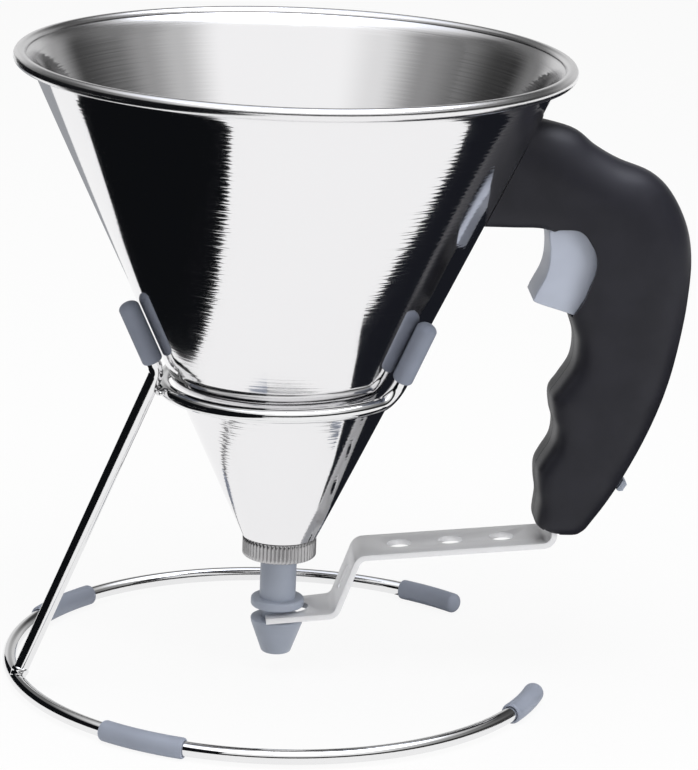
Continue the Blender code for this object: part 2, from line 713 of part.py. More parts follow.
def lever_arm():
    """Bent strip with a fork at the nozzle, three holes and one slot."""
    corners = lever_corners()
    path = rounded_path(corners, BEND_RADIUS)
    rings = []
    last = len(path) - 1
    for i, point in enumerate(path):
        ahead = (path[min(i + 1, last)] - path[max(i - 1, 0)]).normalized()
        across = Vector((-ahead.y, ahead.x)) * LEVER_THICK / 2
        half = LEVER_WIDTH / 2
        if i == 0:
            half = FORK_WIDTH / 2
        if i == last:
            half = TAB_WIDTH / 2
        over, under = point + across, point - across
        rings.append([(over.x, -half, over.y), (over.x, half, over.y),
                      (under.x, half, under.y), (under.x, -half, under.y)])
    strip = make_object("lever_arm", skin(rings))
    cut_fork(strip)
    cut_run_holes(strip, corners[2], corners[3])
    cut_riser_slot(strip, corners[1], corners[2])
    for screw in lever_screw_places():
        combine(strip, pin("hole", screw, LEVER_SCREW_RADIUS + GAP,
                           TAB_X - OVERRUN, TAB_X + OVERRUN, "X"))
    return finish(strip, "satin_steel", (LEVER_PIVOT[0], 0, LEVER_PIVOT[1]))


def cut_fork(strip):
    radius = NECK_RADIUS + GAP
    low, high = FORK_HEIGHT - BEND_RADIUS, FORK_HEIGHT + BEND_RADIUS
    end = FORK_PLAY + GROOVE_HEIGHT - LEVER_THICK / 2
    combine(strip, pin("round", (end, 0), radius, low, high, "Z"))
    combine(strip, block("slot", (-FORK_END - OVERRUN, -radius, low), (end, radius, high)))


def cut_run_holes(strip, top, knee):
    along = (Vector(knee) - Vector(top)).normalized()
    for i in range(LEVER_HOLE_COUNT):
        centre = Vector(top) + along * (FIRST_HOLE + i * LEVER_HOLE_SPACING)
        hole = pin("hole", (0, 0), LEVER_HOLE_RADIUS, -OVERRUN, OVERRUN, "Z",
                   LEVER_HOLE_SIDES)
        turn = Matrix.Rotation(-RUN_RISE, 4, "Y")
        hole.data.transform(Matrix.Translation((centre.x, 0, centre.y)) @ turn)
        combine(strip, hole)


def cut_riser_slot(strip, foot, top):
    """Oblong hole through the sloped part, along its slope."""
    along = Vector(top) - Vector(foot)
    slope = math.atan2(along.y, along.x)
    centre = (Vector(top) + Vector(foot)) / 2
    half = SLOT_LENGTH / 2 - SLOT_WIDTH / 2
    outline = []
    for i in range(PIN_SIDES + 2):
        side = 1 if i <= PIN_SIDES / 2 else -1
        turn = -math.pi / 2 + 2 * math.pi * (i - (side < 0)) / PIN_SIDES
        outline.append((side * half + SLOT_WIDTH / 2 * math.cos(turn),
                        SLOT_WIDTH / 2 * math.sin(turn)))
    rings = [[(x, y, z) for x, y in outline] for z in (-OVERRUN, OVERRUN)]
    cutter = make_object("slot", skin(rings))
    turn = Matrix.Rotation(-slope, 4, "Y")
    cutter.data.transform(Matrix.Translation((centre.x, 0, centre.y)) @ turn)
    combine(strip, cutter)


def lever_screw_places():
    """Two screws side by side through the tab, as (y, z)."""
    height = lever_corners()[4][1] - TAB_HEIGHT / 4
    half = LEVER_SCREW_SPACING / 2
    return ((-half, height), (half, height))


def lever_screws():
    face = TAB_X - LEVER_THICK / 2 - GAP
    end = TAB_X + LEVER_THICK / 2 + TAB_SETBACK / 3
    for side, place in zip(("left", "right"), lever_screw_places()):
        screw = pin("lever_screw_" + side, place, LEVER_SCREW_HEAD,
                    face - SCREW_HEAD_THICK, face, "X")
        shank = pin("shank", place, LEVER_SCREW_RADIUS, face - GAP, end, "X")
        finish(combine(screw, shank, "UNION"), "satin_steel")


def lever_carrier():
    """Rocker that holds the strip's tab and turns on the lever pin."""
    face = TAB_X + LEVER_THICK / 2 + GAP
    foot = lever_corners()[4][1] - CARRIER_GRIP
    x, z = LEVER_PIVOT
    outline = [(face, foot), (x - CARRIER_HUB / 2, foot)]
    steps = 8
    for i in range(steps + 1):
        turn = HUB_START + (HUB_END - HUB_START) * i / steps
        outline.append((x + CARRIER_HUB * math.cos(turn), z + CARRIER_HUB * math.sin(turn)))
    arm = ROD_LOWER
    outline += [(arm[0], arm[1] + ROD_EYE), (arm[0] - ROD_EYE, arm[1] + ROD_EYE / 2),
                (arm[0] - ROD_EYE, arm[1] - ROD_EYE), (face, arm[1] - ROD_EYE)]
    body = prism("lever_carrier", outline, -CARRIER_HALF_WIDTH, CARRIER_HALF_WIDTH)
    combine(body, pin("hole", LEVER_PIVOT, PIVOT_RADIUS + GAP,
                      -CARRIER_HALF_WIDTH - OVERRUN, CARRIER_HALF_WIDTH + OVERRUN))
    combine(body, pin("hole", ROD_LOWER, ROD_PIN_RADIUS + GAP,
                      -CARRIER_HALF_WIDTH - OVERRUN, CARRIER_HALF_WIDTH + OVERRUN))
    half = ROD_THICK / 2 + SLIDE_GAP
    reach = ROD_EYE + SLIDE_GAP
    combine(body, block("slot", (arm[0] - reach - OVERRUN, -half, arm[1] - reach),
                        (arm[0] + reach, half, arm[1] + reach + OVERRUN)))
    end = TAB_X + LEVER_THICK / 2 + TAB_SETBACK / 3 + GAP
    for place in lever_screw_places():
        combine(body, pin("hole", place, LEVER_SCREW_RADIUS + GAP,
                          TAB_X - OVERRUN, end, "X"))
    return finish(body, "satin_steel", (x, 0, z))


# Handle

def handle_loft(name, inset, first, last):
    """The handle's whole body, drawn in by an inset, through its ribs."""
    ribs = []
    for front, back, depth, front_power, back_power in RIB_SHARES[first:last]:
        ribs.append(handle_point(front) + handle_point(back)
                    + (depth * HANDLE_HALF_DEPTH, front_power, back_power))
    rings = []
    for step in range((len(ribs) - 1) * RIB_STEPS + 1):
        rib = smooth_between(ribs, step, RIB_STEPS)
        fx, fz, bx, bz, depth, front_power, back_power = rib
        across = Vector((bx - fx, bz - fz)) / 2
        centre = Vector((bx + fx, bz + fz)) / 2
        half = across.length - inset
        across.normalize()
        ring = []
        for i in range(SECTION_SIDES):
            turn = 2 * math.pi * (i + 0.5) / SECTION_SIDES
            u, v = math.cos(turn), math.sin(turn)
            power = back_power if u > 0 else front_power
            size = (abs(u) ** power + abs(v) ** power) ** (-1 / power)
            spot = centre + across * half * u * size
            ring.append((spot.x, (depth - inset) * v * size, spot.y))
        rings.append(ring)
    return make_object(name, skin(rings))


def turned_outline(outline, pivot, turn):
    """An (x, z) outline turned about a pivot, lower end towards +X."""
    made = []
    for x, z in outline:
        u, v = x - pivot[0], z - pivot[1]
        made.append((pivot[0] + u * math.cos(turn) - v * math.sin(turn),
                     pivot[1] + u * math.sin(turn) + v * math.cos(turn)))
    return made


def grown_outline(outline, grow):
    """A closed (x, z) outline moved outwards along its corners."""
    area = sum(a[0] * b[1] - b[0] * a[1] for a, b in zip(outline, outline[1:] + outline[:1]))
    sign = 1 if area > 0 else -1
    made = []
    for i, point in enumerate(outline):
        before = Vector(outline[i - 1])
        after = Vector(outline[(i + 1) % len(outline)])
        ahead = (after - before).normalized()
        out = Vector((ahead.y, -ahead.x)) * sign
        made.append(tuple(Vector(point) + out * grow))
    return made


def trigger_outline():
    return [handle_point(shares) for shares in TRIGGER_SHARES]


def spring_seats():
    """Heights of the spring's lower and upper ends."""
    low = ROD_LOWER[1] + ROD_EYE + GAP
    return low, low + SPRING_CURLS * SPRING_PITCH + 2 * SPRING_WIRE


def rod_at(height):
    """Place of the rod's middle line at a height."""
    share = (height - ROD_LOWER[1]) / (ROD_UPPER[1] - ROD_LOWER[1])
    return ROD_LOWER[0] + share * (ROD_UPPER[0] - ROD_LOWER[0])


def spring_centre():
    low, high = spring_seats()
    return rod_at((low + high) / 2)


def shelf():
    """Rib across the shells over the spring, with a way for the rod."""
    low = spring_seats()[1] + GAP
    depth = HANDLE_HALF_DEPTH + OVERRUN
    middle = rod_at(low + SHELF_THICK / 2)
    reach = SPRING_RADIUS + SPRING_WIRE
    rib = block("shelf", (middle - reach - HANDLE_REACH / 4, -depth, low),
                (middle + reach, depth, low + SHELF_THICK))
    hole = ROD_WIDTH / 2 + 2 * SLIDE_GAP
    combine(rib, pin("hole", (middle, 0), hole, low - OVERRUN,
                     low + SHELF_THICK + OVERRUN, "Z"))
    return rib


def handle_cavity():
    """The hollow of the handle, less the bosses and ribs that stand in it."""
    cavity = handle_loft("cavity", HANDLE_WALL, 0, len(RIB_SHARES) - 2)
    depth = HANDLE_HALF_DEPTH + OVERRUN
    for shares in GRIP_SCREW_SHARES:
        combine(cavity, pin("boss", handle_point(shares), SCREW_BOSS, -depth, depth))
    pairs = [(handle_point(shares), SCREW_BOSS, BRACKET_HALF_WIDTH + GAP)
             for shares in NECK_SCREW_SHARES]
    pairs.append((TRIGGER_PIVOT, PIVOT_BOSS, TRIGGER_HALF_WIDTH + SLIDE_GAP + WELL_GAP))
    pairs.append((LEVER_PIVOT, PIVOT_BOSS, CARRIER_HALF_WIDTH + SLIDE_GAP))
    for place, radius, inner in pairs:
        combine(cavity, pin("boss", place, radius, inner, depth))
        combine(cavity, pin("boss", place, radius, -depth, -inner))
    return combine(cavity, shelf())


def cone_trim():
    """The cone's outside and a gap, as a cutter for the neck."""
    grow = GAP / math.cos(CONE_HALF_ANGLE)
    low = NECK_FOOT_HEIGHT - HANDLE_HEIGHT / 2
    high = CURL_HEIGHT + HANDLE_WALL
    profile = [(0, low), (wall_radius(low) + grow, low), (wall_radius(high) + grow, high),
               (0, high)]
    return turned("trim", profile, CONE_SIDES, closed=False)


def selector_frame():
    """Place of the selector on the grip's back, with its slide and out directions."""
    place = Vector(handle_point(SELECTOR_SHARES))
    slide = Vector((math.cos(SELECTOR_SLOPE), math.sin(SELECTOR_SLOPE)))
    return place, slide, Vector((slide.y, -slide.x))


def selector_box(name, start, end, low, high, half_width):
    """A block in the selector's frame: along its slide, then out of the grip."""
    place, slide, out = selector_frame()
    outline = [tuple(place + slide * along + out * off)
               for along, off in ((start, low), (end, low), (end, high), (start, high))]
    return prism(name, outline, -half_width, half_width)


def cut_shell(shell, cutouts):
    for cutter in cutouts:
        combine(shell, cutter)


def screw_places():
    return [handle_point(shares) for shares in GRIP_SCREW_SHARES + NECK_SCREW_SHARES]


def screw_head_top():
    return HANDLE_HALF_DEPTH - SCREW_HEAD_SINK


def shell_cutters(side):
    """Everything that is cut out of one half shell."""
    depth = HANDLE_HALF_DEPTH + OVERRUN
    cutters = [cone_trim()]
    cutout = [handle_point(shares) for shares in CUTOUT_SHARES]
    cutters.append(prism("cutout", cutout, -depth, depth))
    well = grown_outline(trigger_outline(), WELL_GAP)
    half = TRIGGER_HALF_WIDTH + WELL_GAP
    for share in (0.0, 0.5, 1.0):
        outline = turned_outline(well, TRIGGER_PIVOT, share * TRIGGER_SWING)
        side_wall = half + share * GAP
        cutters.append(prism("well", outline, -side_wall, side_wall))
    knee = lever_corners()[3]
    mouth = LEVER_THICK / 2 + 2 * SLIDE_GAP
    swing = TAB_HEIGHT * math.sin(LEVER_SWING) + 2 * SLIDE_GAP
    width = LEVER_WIDTH / 2 + SLIDE_GAP
    cutters.append(block("mouth", (TAB_X - mouth - swing, -width, knee[1]),
                         (TAB_X + mouth, width, HANDLE_FOOT_HEIGHT + 2 * HANDLE_WALL)))
    for place, radius, inner in (
            (TRIGGER_PIVOT, PIVOT_RADIUS + GAP, trigger_pin_reach() + GAP),
            (LEVER_PIVOT, PIVOT_RADIUS + GAP, lever_pin_reach() + GAP)):
        cutters.append(pin("socket", place, radius, -inner, inner))
    head = screw_head_top()
    tip = HANDLE_HALF_DEPTH - SCREW_TIP_COVER
    for place in screw_places():
        cutters.append(pin("hole", place, SCREW_RADIUS + GAP, -tip, head))
        if side > 0:
            seat = head - SCREW_HEAD_THICK - GAP
            cutters.append(pin("sink", place, SCREW_HEAD_RADIUS + GAP, seat, depth))
    way = ROD_WIDTH / 2 + SLIDE_GAP
    low, high = (HANDLE_FOOT_HEIGHT + share * HANDLE_HEIGHT for share in ROD_WAY_SHARES)
    outline = [(rod_at(low) - way, low), (rod_at(low) + way, low),
               (rod_at(high) + way, high), (rod_at(high) - way, high)]
    aside = ROD_THICK / 2 + SLIDE_GAP
    cutters.append(prism("way", outline, -aside, aside))
    stem = SELECTOR_STEM / 2 + SLIDE_GAP
    cutters.append(selector_box("slot", -stem, SELECTOR_TRAVEL + stem,
                                -2 * HANDLE_WALL, OVERRUN, SELECTOR_STEM / 2 + GAP))
    plate = SELECTOR_PLATE_LENGTH / 2 + SLIDE_GAP
    cutters.append(selector_box("track", -plate, SELECTOR_TRAVEL + plate,
                                -3 * HANDLE_WALL, -HANDLE_WALL,
                                SELECTOR_PLATE_WIDTH / 2 + SLIDE_GAP))
    return cutters


def handle_shells():
    """The two half shells, which meet at the middle plane."""
    body = handle_loft("body", 0.0, 0, len(RIB_SHARES))
    cavity = handle_cavity()
    far = HANDLE_HALF_DEPTH + OVERRUN
    reach = NECK_FOOT_X + 2 * HANDLE_REACH
    made = []
    for name, side in (("handle_shell_left", -1), ("handle_shell_right", 1)):
        shell = copy_of(body, name)
        near = side * SEAM_GAP / 2
        low, high = sorted((near, side * far))
        half = block("half", (0, low, 0), (reach, high, RIM_HEIGHT + HANDLE_REACH))
        combine(shell, half, "INTERSECT")
        combine(shell, cavity, keep=True)
        cut_shell(shell, shell_cutters(side))
        made.append(finish(shell, "black_plastic", smooth=math.radians(40)))
    bpy.data.objects.remove(body, do_unlink=True)
    bpy.data.objects.remove(cavity, do_unlink=True)
    return made


def trigger_pin_reach():
    return TRIGGER_HALF_WIDTH + WELL_GAP + 2 * SLIDE_GAP + GAP


def lever_pin_reach():
    return CARRIER_HALF_WIDTH + SLIDE_GAP + 2 * PIVOT_RADIUS - GAP


def trigger():
    """Finger piece on its pivot, with a slot at its back for the rod."""
    body = prism("trigger", trigger_outline(), -TRIGGER_HALF_WIDTH, TRIGGER_HALF_WIDTH)
    bevel = body.modifiers.new("edges", "BEVEL")
    bevel.width = TRIGGER_BEVEL
    bevel.segments = 2
    bevel.limit_method = "ANGLE"
    bevel.angle_limit = math.radians(60)
    depsgraph = bpy.context.evaluated_depsgraph_get()
    depsgraph.update()
    rounded = bpy.data.meshes.new_from_object(body.evaluated_get(depsgraph))
    body.modifiers.clear()
    body.data = rounded
    half = ROD_THICK / 2 + SLIDE_GAP
    face = handle_point(TRIGGER_SHARES[1])[0] + TRIGGER_FACE
    x, z = TRIGGER_PIVOT
    combine(body, block("slot", (face, -half, HANDLE_FOOT_HEIGHT),
                        (x + HANDLE_REACH, half, z - PIVOT_BOSS)))
    combine(body, block("slot", (x + PIVOT_RADIUS + GAP, -half, HANDLE_FOOT_HEIGHT),
                        (x + HANDLE_REACH, half, RIM_HEIGHT)))
    reach = TRIGGER_HALF_WIDTH + OVERRUN
    combine(body, pin("hole", TRIGGER_PIVOT, PIVOT_RADIUS + GAP, -reach, reach))
    combine(body, pin("hole", ROD_UPPER, ROD_PIN_RADIUS + GAP, -reach, reach))
    return finish(body, "grey_plastic", (x, 0, z))


def pivot_pins():
    for name, place, reach in (
            ("trigger_pivot_pin", TRIGGER_PIVOT, trigger_pin_reach()),
            ("lever_pivot_pin", LEVER_PIVOT, lever_pin_reach())):
        finish(pin(name, place, PIVOT_RADIUS, -reach, reach), "satin_steel")


def rod_pins():
    for name, place, reach in (
            ("rod_pin_upper", ROD_UPPER, TRIGGER_HALF_WIDTH - TRIGGER_BEVEL),
            ("rod_pin_lower", ROD_LOWER, CARRIER_HALF_WIDTH - GAP)):
        finish(pin(name, place, ROD_PIN_RADIUS, -reach, reach, sides=SMALL_SIDES), "satin_steel")


def pull_rod():
    """Flat link with an eye at each end."""
    low, high = Vector(ROD_LOWER), Vector(ROD_UPPER)
    ahead = (high - low).normalized()
    across = Vector((-ahead.y, ahead.x))
    half = ROD_WIDTH / 2
    start = math.asin(half / ROD_EYE)
    outline = []
    steps = 10
    for centre, sign in ((high, 1), (low, -1)):
        for i in range(steps + 1):
            turn = -math.pi + start + (2 * math.pi - 2 * start) * i / steps
            outline.append(tuple(centre + sign * ROD_EYE * (
                math.cos(turn) * ahead + math.sin(turn) * across)))
    rod = prism("pull_rod", outline, -ROD_THICK / 2, ROD_THICK / 2)
    for place in (ROD_LOWER, ROD_UPPER):
        combine(rod, pin("hole", place, ROD_PIN_RADIUS + GAP, -OVERRUN, OVERRUN, sides=SMALL_SIDES))
    return finish(rod, "satin_steel")


def return_spring():
    """Coil round the rod, pressing the carrier's arm down from the shelf."""
    low = spring_seats()[0] + SPRING_WIRE / 2 + GAP
    centre = spring_centre()
    count = SPRING_CURLS * SPRING_CURL_POINTS
    points = []
    for i in range(count + 1):
        turn = 2 * math.pi * i / SPRING_CURL_POINTS
        points.append(Vector((centre + SPRING_RADIUS * math.cos(turn),
                              SPRING_RADIUS * math.sin(turn),
                              low + SPRING_PITCH * i / SPRING_CURL_POINTS)))
    gap = min((points[i] - points[j]).length - SPRING_WIRE
              for i in range(count + 1) for j in range(i + SPRING_CURL_POINTS // 2, count + 1))
    print("least gap between the spring's curls, mm:", round(gap / MM, 2))
    coil = Wire(points, (1, 0, 0)).rod("return_spring", SPRING_WIRE / 2, sides=6)
    return finish(coil, "spring_steel")


def shell_screws():
    """Pan head screws, driven in from the right shell."""
    head = screw_head_top()
    seat = head - SCREW_HEAD_THICK
    tip = -(HANDLE_HALF_DEPTH - SCREW_TIP_COVER - GAP)
    for name, place in zip(SCREW_NAMES, screw_places()):
        screw = pin(name, place, SCREW_HEAD_RADIUS, seat, head)
        shank = pin("shank", place, SCREW_RADIUS, tip, seat + GAP)
        finish(combine(screw, shank, "UNION"), "satin_steel")


def mounting_bracket():
    """Channel welded to the cone, whose cheeks the neck is screwed to."""
    outline = [handle_point(shares) for shares in BRACKET_SHARES]
    body = prism("mounting_bracket", outline, -BRACKET_HALF_WIDTH, BRACKET_HALF_WIDTH)
    combine(body, cone_trim())
    inner = BRACKET_HALF_WIDTH - BRACKET_SHEET
    lean = BRACKET_PLATE / math.cos(CONE_HALF_ANGLE)
    low, high = outline[0][1] - HANDLE_WALL, outline[-1][1] + HANDLE_WALL
    slope = ((wall_radius(low) + lean, low), (wall_radius(high) + lean, high),
             (NECK_FOOT_X + HANDLE_REACH, high), (NECK_FOOT_X + HANDLE_REACH, low))
    combine(body, prism("channel", slope, -inner, inner))
    for shares in NECK_SCREW_SHARES:
        combine(body, pin("hole", handle_point(shares), SCREW_RADIUS + GAP,
                          -BRACKET_HALF_WIDTH - OVERRUN, BRACKET_HALF_WIDTH + OVERRUN))
    return finish(body, "satin_steel")


def flow_selector():
    """Small slider: a nub outside, a stem in the slot, a plate inside."""
    nub, stem = SELECTOR_NUB / 2, SELECTOR_STEM / 2
    rise = SELECTOR_NUB_RISE
    lift = 2 * SLIDE_GAP
    place, slide, out = selector_frame()
    profile = ((-nub, lift), (nub, lift), (nub, rise / 2), (nub / 2, rise),
               (-nub / 2, rise), (-nub, rise / 2))
    outline = [tuple(place + slide * a + out * b) for a, b in profile]
    body = prism("flow_selector", outline, -SELECTOR_NUB_WIDTH / 2, SELECTOR_NUB_WIDTH / 2)
    back = -HANDLE_WALL - 2 * SLIDE_GAP
    combine(body, selector_box("stem", -stem, stem, back - SELECTOR_PLATE / 2,
                               rise / 2, SELECTOR_STEM / 2), "UNION")
    plate = SELECTOR_PLATE_LENGTH / 2
    combine(body, selector_box("plate", -plate, plate, back - SELECTOR_PLATE, back,
                               SELECTOR_PLATE_WIDTH / 2), "UNION")
    return finish(body, "grey_plastic", (place.x, 0, place.y))


# Wire stand

def polar(radius, turn, height):
    return Vector((radius * math.cos(turn), radius * math.sin(turn), height))


def base_wire():
    """Route of the base ring, from one end of its gap round to the other."""
    start = STAND_TURN + BASE_HALF_GAP
    sweep = 2 * math.pi - 2 * BASE_HALF_GAP
    steps = round(sweep / RING_STEP)
    points = [polar(BASE_RING_RADIUS, start + sweep * i / steps, BASE_RING_HEIGHT)
              for i in range(steps + 1)]
    return Wire(points, polar(1, start, 0))


def base_parts():
    wire = base_wire()
    finish(wire.rod("stand_base_ring", WIRE_RADIUS), "chrome")
    end = wire.length
    cap("base_cap_rear", wire, CAP_LENGTH - CAP_END, -CAP_END, 5)
    cap("base_cap_front", wire, end - CAP_LENGTH + CAP_END, end + CAP_END, 5)
    middle = end / 2
    turn = BASE_SLEEVE_TURN * BASE_RING_RADIUS
    half = SLEEVE_LENGTH / 2
    for name, centre in (("base_sleeve_rear", middle - turn),
                         ("base_sleeve_front", middle + turn)):
        sleeve(name, wire, centre - half, centre + half, 5)


def prong_offset():
    """Distance of a prong's middle line from the cone's wall, level with it."""
    return (SLEEVE_RADIUS + GAP) / math.cos(CONE_HALF_ANGLE)


def ring_radius():
    return wall_radius(UPPER_RING_HEIGHT) + (
        WIRE_RADIUS + UPPER_RING_CLEARANCE) / math.cos(CONE_HALF_ANGLE)


def dipped(radius, turn, height):
    """Point of the upper ring, which slopes down towards the leg."""
    lift = UPPER_RING_DIP * math.cos(turn - STAND_TURN)
    return polar(radius + lift * WALL_SLOPE, turn, height + lift)


def upper_wire():
    """Route of the upper ring with a prong bent up at each end."""
    radius = ring_radius()
    start = STAND_TURN + PRONG_SPREAD
    bend = PRONG_BEND / radius
    prong = []
    steps = 4
    for height in (PRONG_TOP, (PRONG_TOP + UPPER_RING_HEIGHT + PRONG_BEND) / 2):
        prong.append((0.0, height))
    for i in range(BEND_STEPS + 1):
        turn = math.pi / 2 * i / BEND_STEPS
        prong.append((bend * (1 - math.cos(turn)),
                      UPPER_RING_HEIGHT + PRONG_BEND * (1 - math.sin(turn))))
    outer = prong_offset() - (radius - wall_radius(UPPER_RING_HEIGHT))
    points = []
    for shift, height in prong:
        share = min((height - UPPER_RING_HEIGHT) / PRONG_BEND, 1.0)
        reach = radius + (height - UPPER_RING_HEIGHT) * WALL_SLOPE
        points.append((reach + outer * share, start + shift, height))
    sweep = 2 * math.pi - 2 * (PRONG_SPREAD + bend)
    steps = round(sweep / (2 * RING_STEP))
    ring = [(radius, start + bend + sweep * i / steps, UPPER_RING_HEIGHT)
            for i in range(1, steps)]
    middle = 2 * (STAND_TURN + math.pi)
    mirrored = [(r, middle - turn, height) for r, turn, height in reversed(points)]
    route = [dipped(*point) for point in points + ring + mirrored]
    return Wire(route, polar(1, start, 0))


def leg_lean(foot):
    """Direction of the leg, which passes just outside the upper ring."""
    across = Vector((ring_radius() - UPPER_RING_DIP * WALL_SLOPE,
                     UPPER_RING_HEIGHT - UPPER_RING_DIP)) - foot
    aside = math.asin((2 * WIRE_RADIUS + LEG_CLEARANCE) / across.length)
    turn = math.atan2(across.y, across.x) - aside
    return Vector((math.cos(turn), math.sin(turn)))


def leg_wire():
    """Route of the leg, up from the base ring and into the left prong."""
    turn = STAND_TURN + math.pi + LEG_TURN
    offset = prong_offset()
    end = PRONG_TOP + LEG_RISE
    top = (wall_radius(end) + offset, end)
    foot = Vector((BASE_RING_RADIUS, BASE_RING_HEIGHT))
    lean = leg_lean(foot)
    apart = wall_radius(foot.y) + offset - foot.x
    bend = tuple(foot + lean * apart / (lean.x - WALL_SLOPE * lean.y))
    start = foot + lean * (2 * WIRE_RADIUS)
    path = rounded_path([tuple(start), bend, top], LEG_BEND_RADIUS)
    points = [polar(point.x, turn, point.y) for point in path]
    foot_wire = polar(foot.x, turn, foot.y)
    return Wire([foot_wire] + points, polar(1, turn, 0))


def stand_leg(wire):
    """Leg whose foot is coped over the base ring."""
    leg = wire.rod("stand_leg", WIRE_RADIUS)
    saddle = base_wire().rod("saddle", WIRE_RADIUS + GAP)
    combine(leg, saddle)
    keep = block("keep", (-2 * BASE_RING_RADIUS, -2 * BASE_RING_RADIUS,
                          BASE_RING_HEIGHT), (BASE_RING_RADIUS,
                          BASE_RING_RADIUS, RIM_HEIGHT))
    combine(leg, keep, "INTERSECT")
    return finish(leg, "chrome")


def upper_parts():
    ring, leg = upper_wire(), leg_wire()
    finish(ring.rod("stand_upper_ring", WIRE_RADIUS), "chrome")
    stand_leg(leg)
    length = PRONG_SLEEVE_LENGTH - CAP_END
    cap("prong_sleeve_rear", ring, length, -CAP_END, 2)
    cap("prong_sleeve_front", ring, ring.length - length, ring.length + CAP_END, 2)
    cap("prong_sleeve_left", leg, leg.length - length, leg.length + CAP_END, 2)


def centre_on_origin():
    """Move everything so that the box's bottom centre is the origin."""
    low, high = Vector((math.inf,) * 3), Vector((-math.inf,) * 3)
    for obj in bpy.data.objects:
        for vert in obj.data.vertices:
            spot = vert.co + obj.location
            low = Vector(map(min, low, spot))
            high = Vector(map(max, high, spot))
    middle = (low + high) / 2
    for obj in bpy.data.objects:
        obj.location -= Vector((middle.x, middle.y, low.z))


def main():
    clear_scene()
    funnel_cone()
    spout_socket()
    spout_gasket()
    knurled_nut()
    nozzle()
    nozzle_seal()
    lever_arm()
    lever_screws()
    lever_carrier()
    handle_shells()
    trigger()
    pivot_pins()
    rod_pins()
    pull_rod()
    return_spring()
    shell_screws()
    mounting_bracket()
    flow_selector()
    base_parts()
    upper_parts()
    centre_on_origin()


main()
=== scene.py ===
"""Fondant funnel, dressed round its CAD frame: polished cone, trigger handle,
lifting nozzle and wire stand, on a pale floor in soft studio light.
"""
import math

import bmesh
import bpy
from bpy.props import (FloatProperty, FloatVectorProperty, IntProperty,
                       PointerProperty)
from mathutils import Matrix, Vector


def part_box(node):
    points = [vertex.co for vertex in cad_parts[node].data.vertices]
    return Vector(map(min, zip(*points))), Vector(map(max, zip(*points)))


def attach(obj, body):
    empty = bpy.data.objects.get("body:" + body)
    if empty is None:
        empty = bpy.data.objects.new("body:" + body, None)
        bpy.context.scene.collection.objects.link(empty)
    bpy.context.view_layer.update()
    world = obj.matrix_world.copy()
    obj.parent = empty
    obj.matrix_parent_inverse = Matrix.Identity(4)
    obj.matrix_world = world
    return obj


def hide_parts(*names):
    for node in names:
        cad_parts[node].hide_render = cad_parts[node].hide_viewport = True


bl_info = {
    "name": "Fondant funnel",
    "version": (1, 0, 0),
    "blender": (4, 5, 0),
    "location": "3D View > Sidebar > Funnel",
    "description": "Builds a fondant funnel with its stand and its studio",
    "category": "Add Mesh",
}

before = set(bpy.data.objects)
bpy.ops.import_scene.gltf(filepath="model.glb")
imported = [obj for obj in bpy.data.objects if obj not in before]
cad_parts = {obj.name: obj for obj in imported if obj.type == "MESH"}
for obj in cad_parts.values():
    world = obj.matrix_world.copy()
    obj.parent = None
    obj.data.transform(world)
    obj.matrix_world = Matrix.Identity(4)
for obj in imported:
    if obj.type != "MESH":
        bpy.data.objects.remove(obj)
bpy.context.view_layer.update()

MM = 0.001


def node_box(name):
    """Corners of a CAD node as vectors."""
    low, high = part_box(name)
    return Vector(low), Vector(high)


CONE_LOW, CONE_HIGH = node_box("funnel_cone")
AXIS_X = (CONE_LOW.x + CONE_HIGH.x) / 2
SHIFT = Vector((AXIS_X, 0, 0))

# Clearances and sizes that the pieces share with the CAD part
GAP = 0.3 * MM
SLIDE_GAP = 0.4 * MM
OVERRUN = 3.0 * MM
WELD = 0.0001 * MM

# Cone
SHEET = 0.9 * MM
CURL_RADIUS = 2.3 * MM
CURL_SLIT = 0.5 * MM
CONE_FOOT_RADIUS = 13.5 * MM
CONE_FOOT = CONE_LOW.z
RIM_TOP = CONE_HIGH.z
RIM_RADIUS = (CONE_HIGH.y - CONE_LOW.y) / 2
CURL_HEIGHT = RIM_TOP - CURL_RADIUS
WALL_TOP_RADIUS = RIM_RADIUS - 2 * CURL_RADIUS
WALL_SLOPE = (WALL_TOP_RADIUS - CONE_FOOT_RADIUS) / (CURL_HEIGHT - CONE_FOOT)
CONE_HALF_ANGLE = math.atan(WALL_SLOPE)
CONE_RINGS = 40
CURL_STEPS = 40

# Outlet
SPIGOT_RADIUS = 10.0 * MM
SPOUT_RISE = 8.6 * MM
SPOUT_LIP = 1.2 * MM
TUBE_RADIUS = 6.45 * MM
NUT_FLOOR = 1.8 * MM
NUT_CHAMFER = 0.7 * MM
NUT_STEPS = 6
NOZZLE_BORE = 3.1 * MM
HEAD_THICK = 5.2 * MM
TIP_HEIGHT = 12.9 * MM
TIP_FOOT_RADIUS = 5.2 * MM
TIP_BAND_RADIUS = 9.2 * MM
TIP_BAND_HEIGHT = 1.8 * MM
FLANGE_RADIUS = 9.5 * MM
FLANGE_THICK = 3.2 * MM
NECK_RADIUS = 5.2 * MM
GROOVE_HEIGHT = 4.4 * MM
PORT_WIDTH = 4.4 * MM
PORT_HEIGHT = 5.4 * MM
SEAL_SECTION = 0.75 * MM
SEAL_DEPTH = 1.75 * MM
EDGE_ROUND = 0.6 * MM
TURNED_SIDES = 128

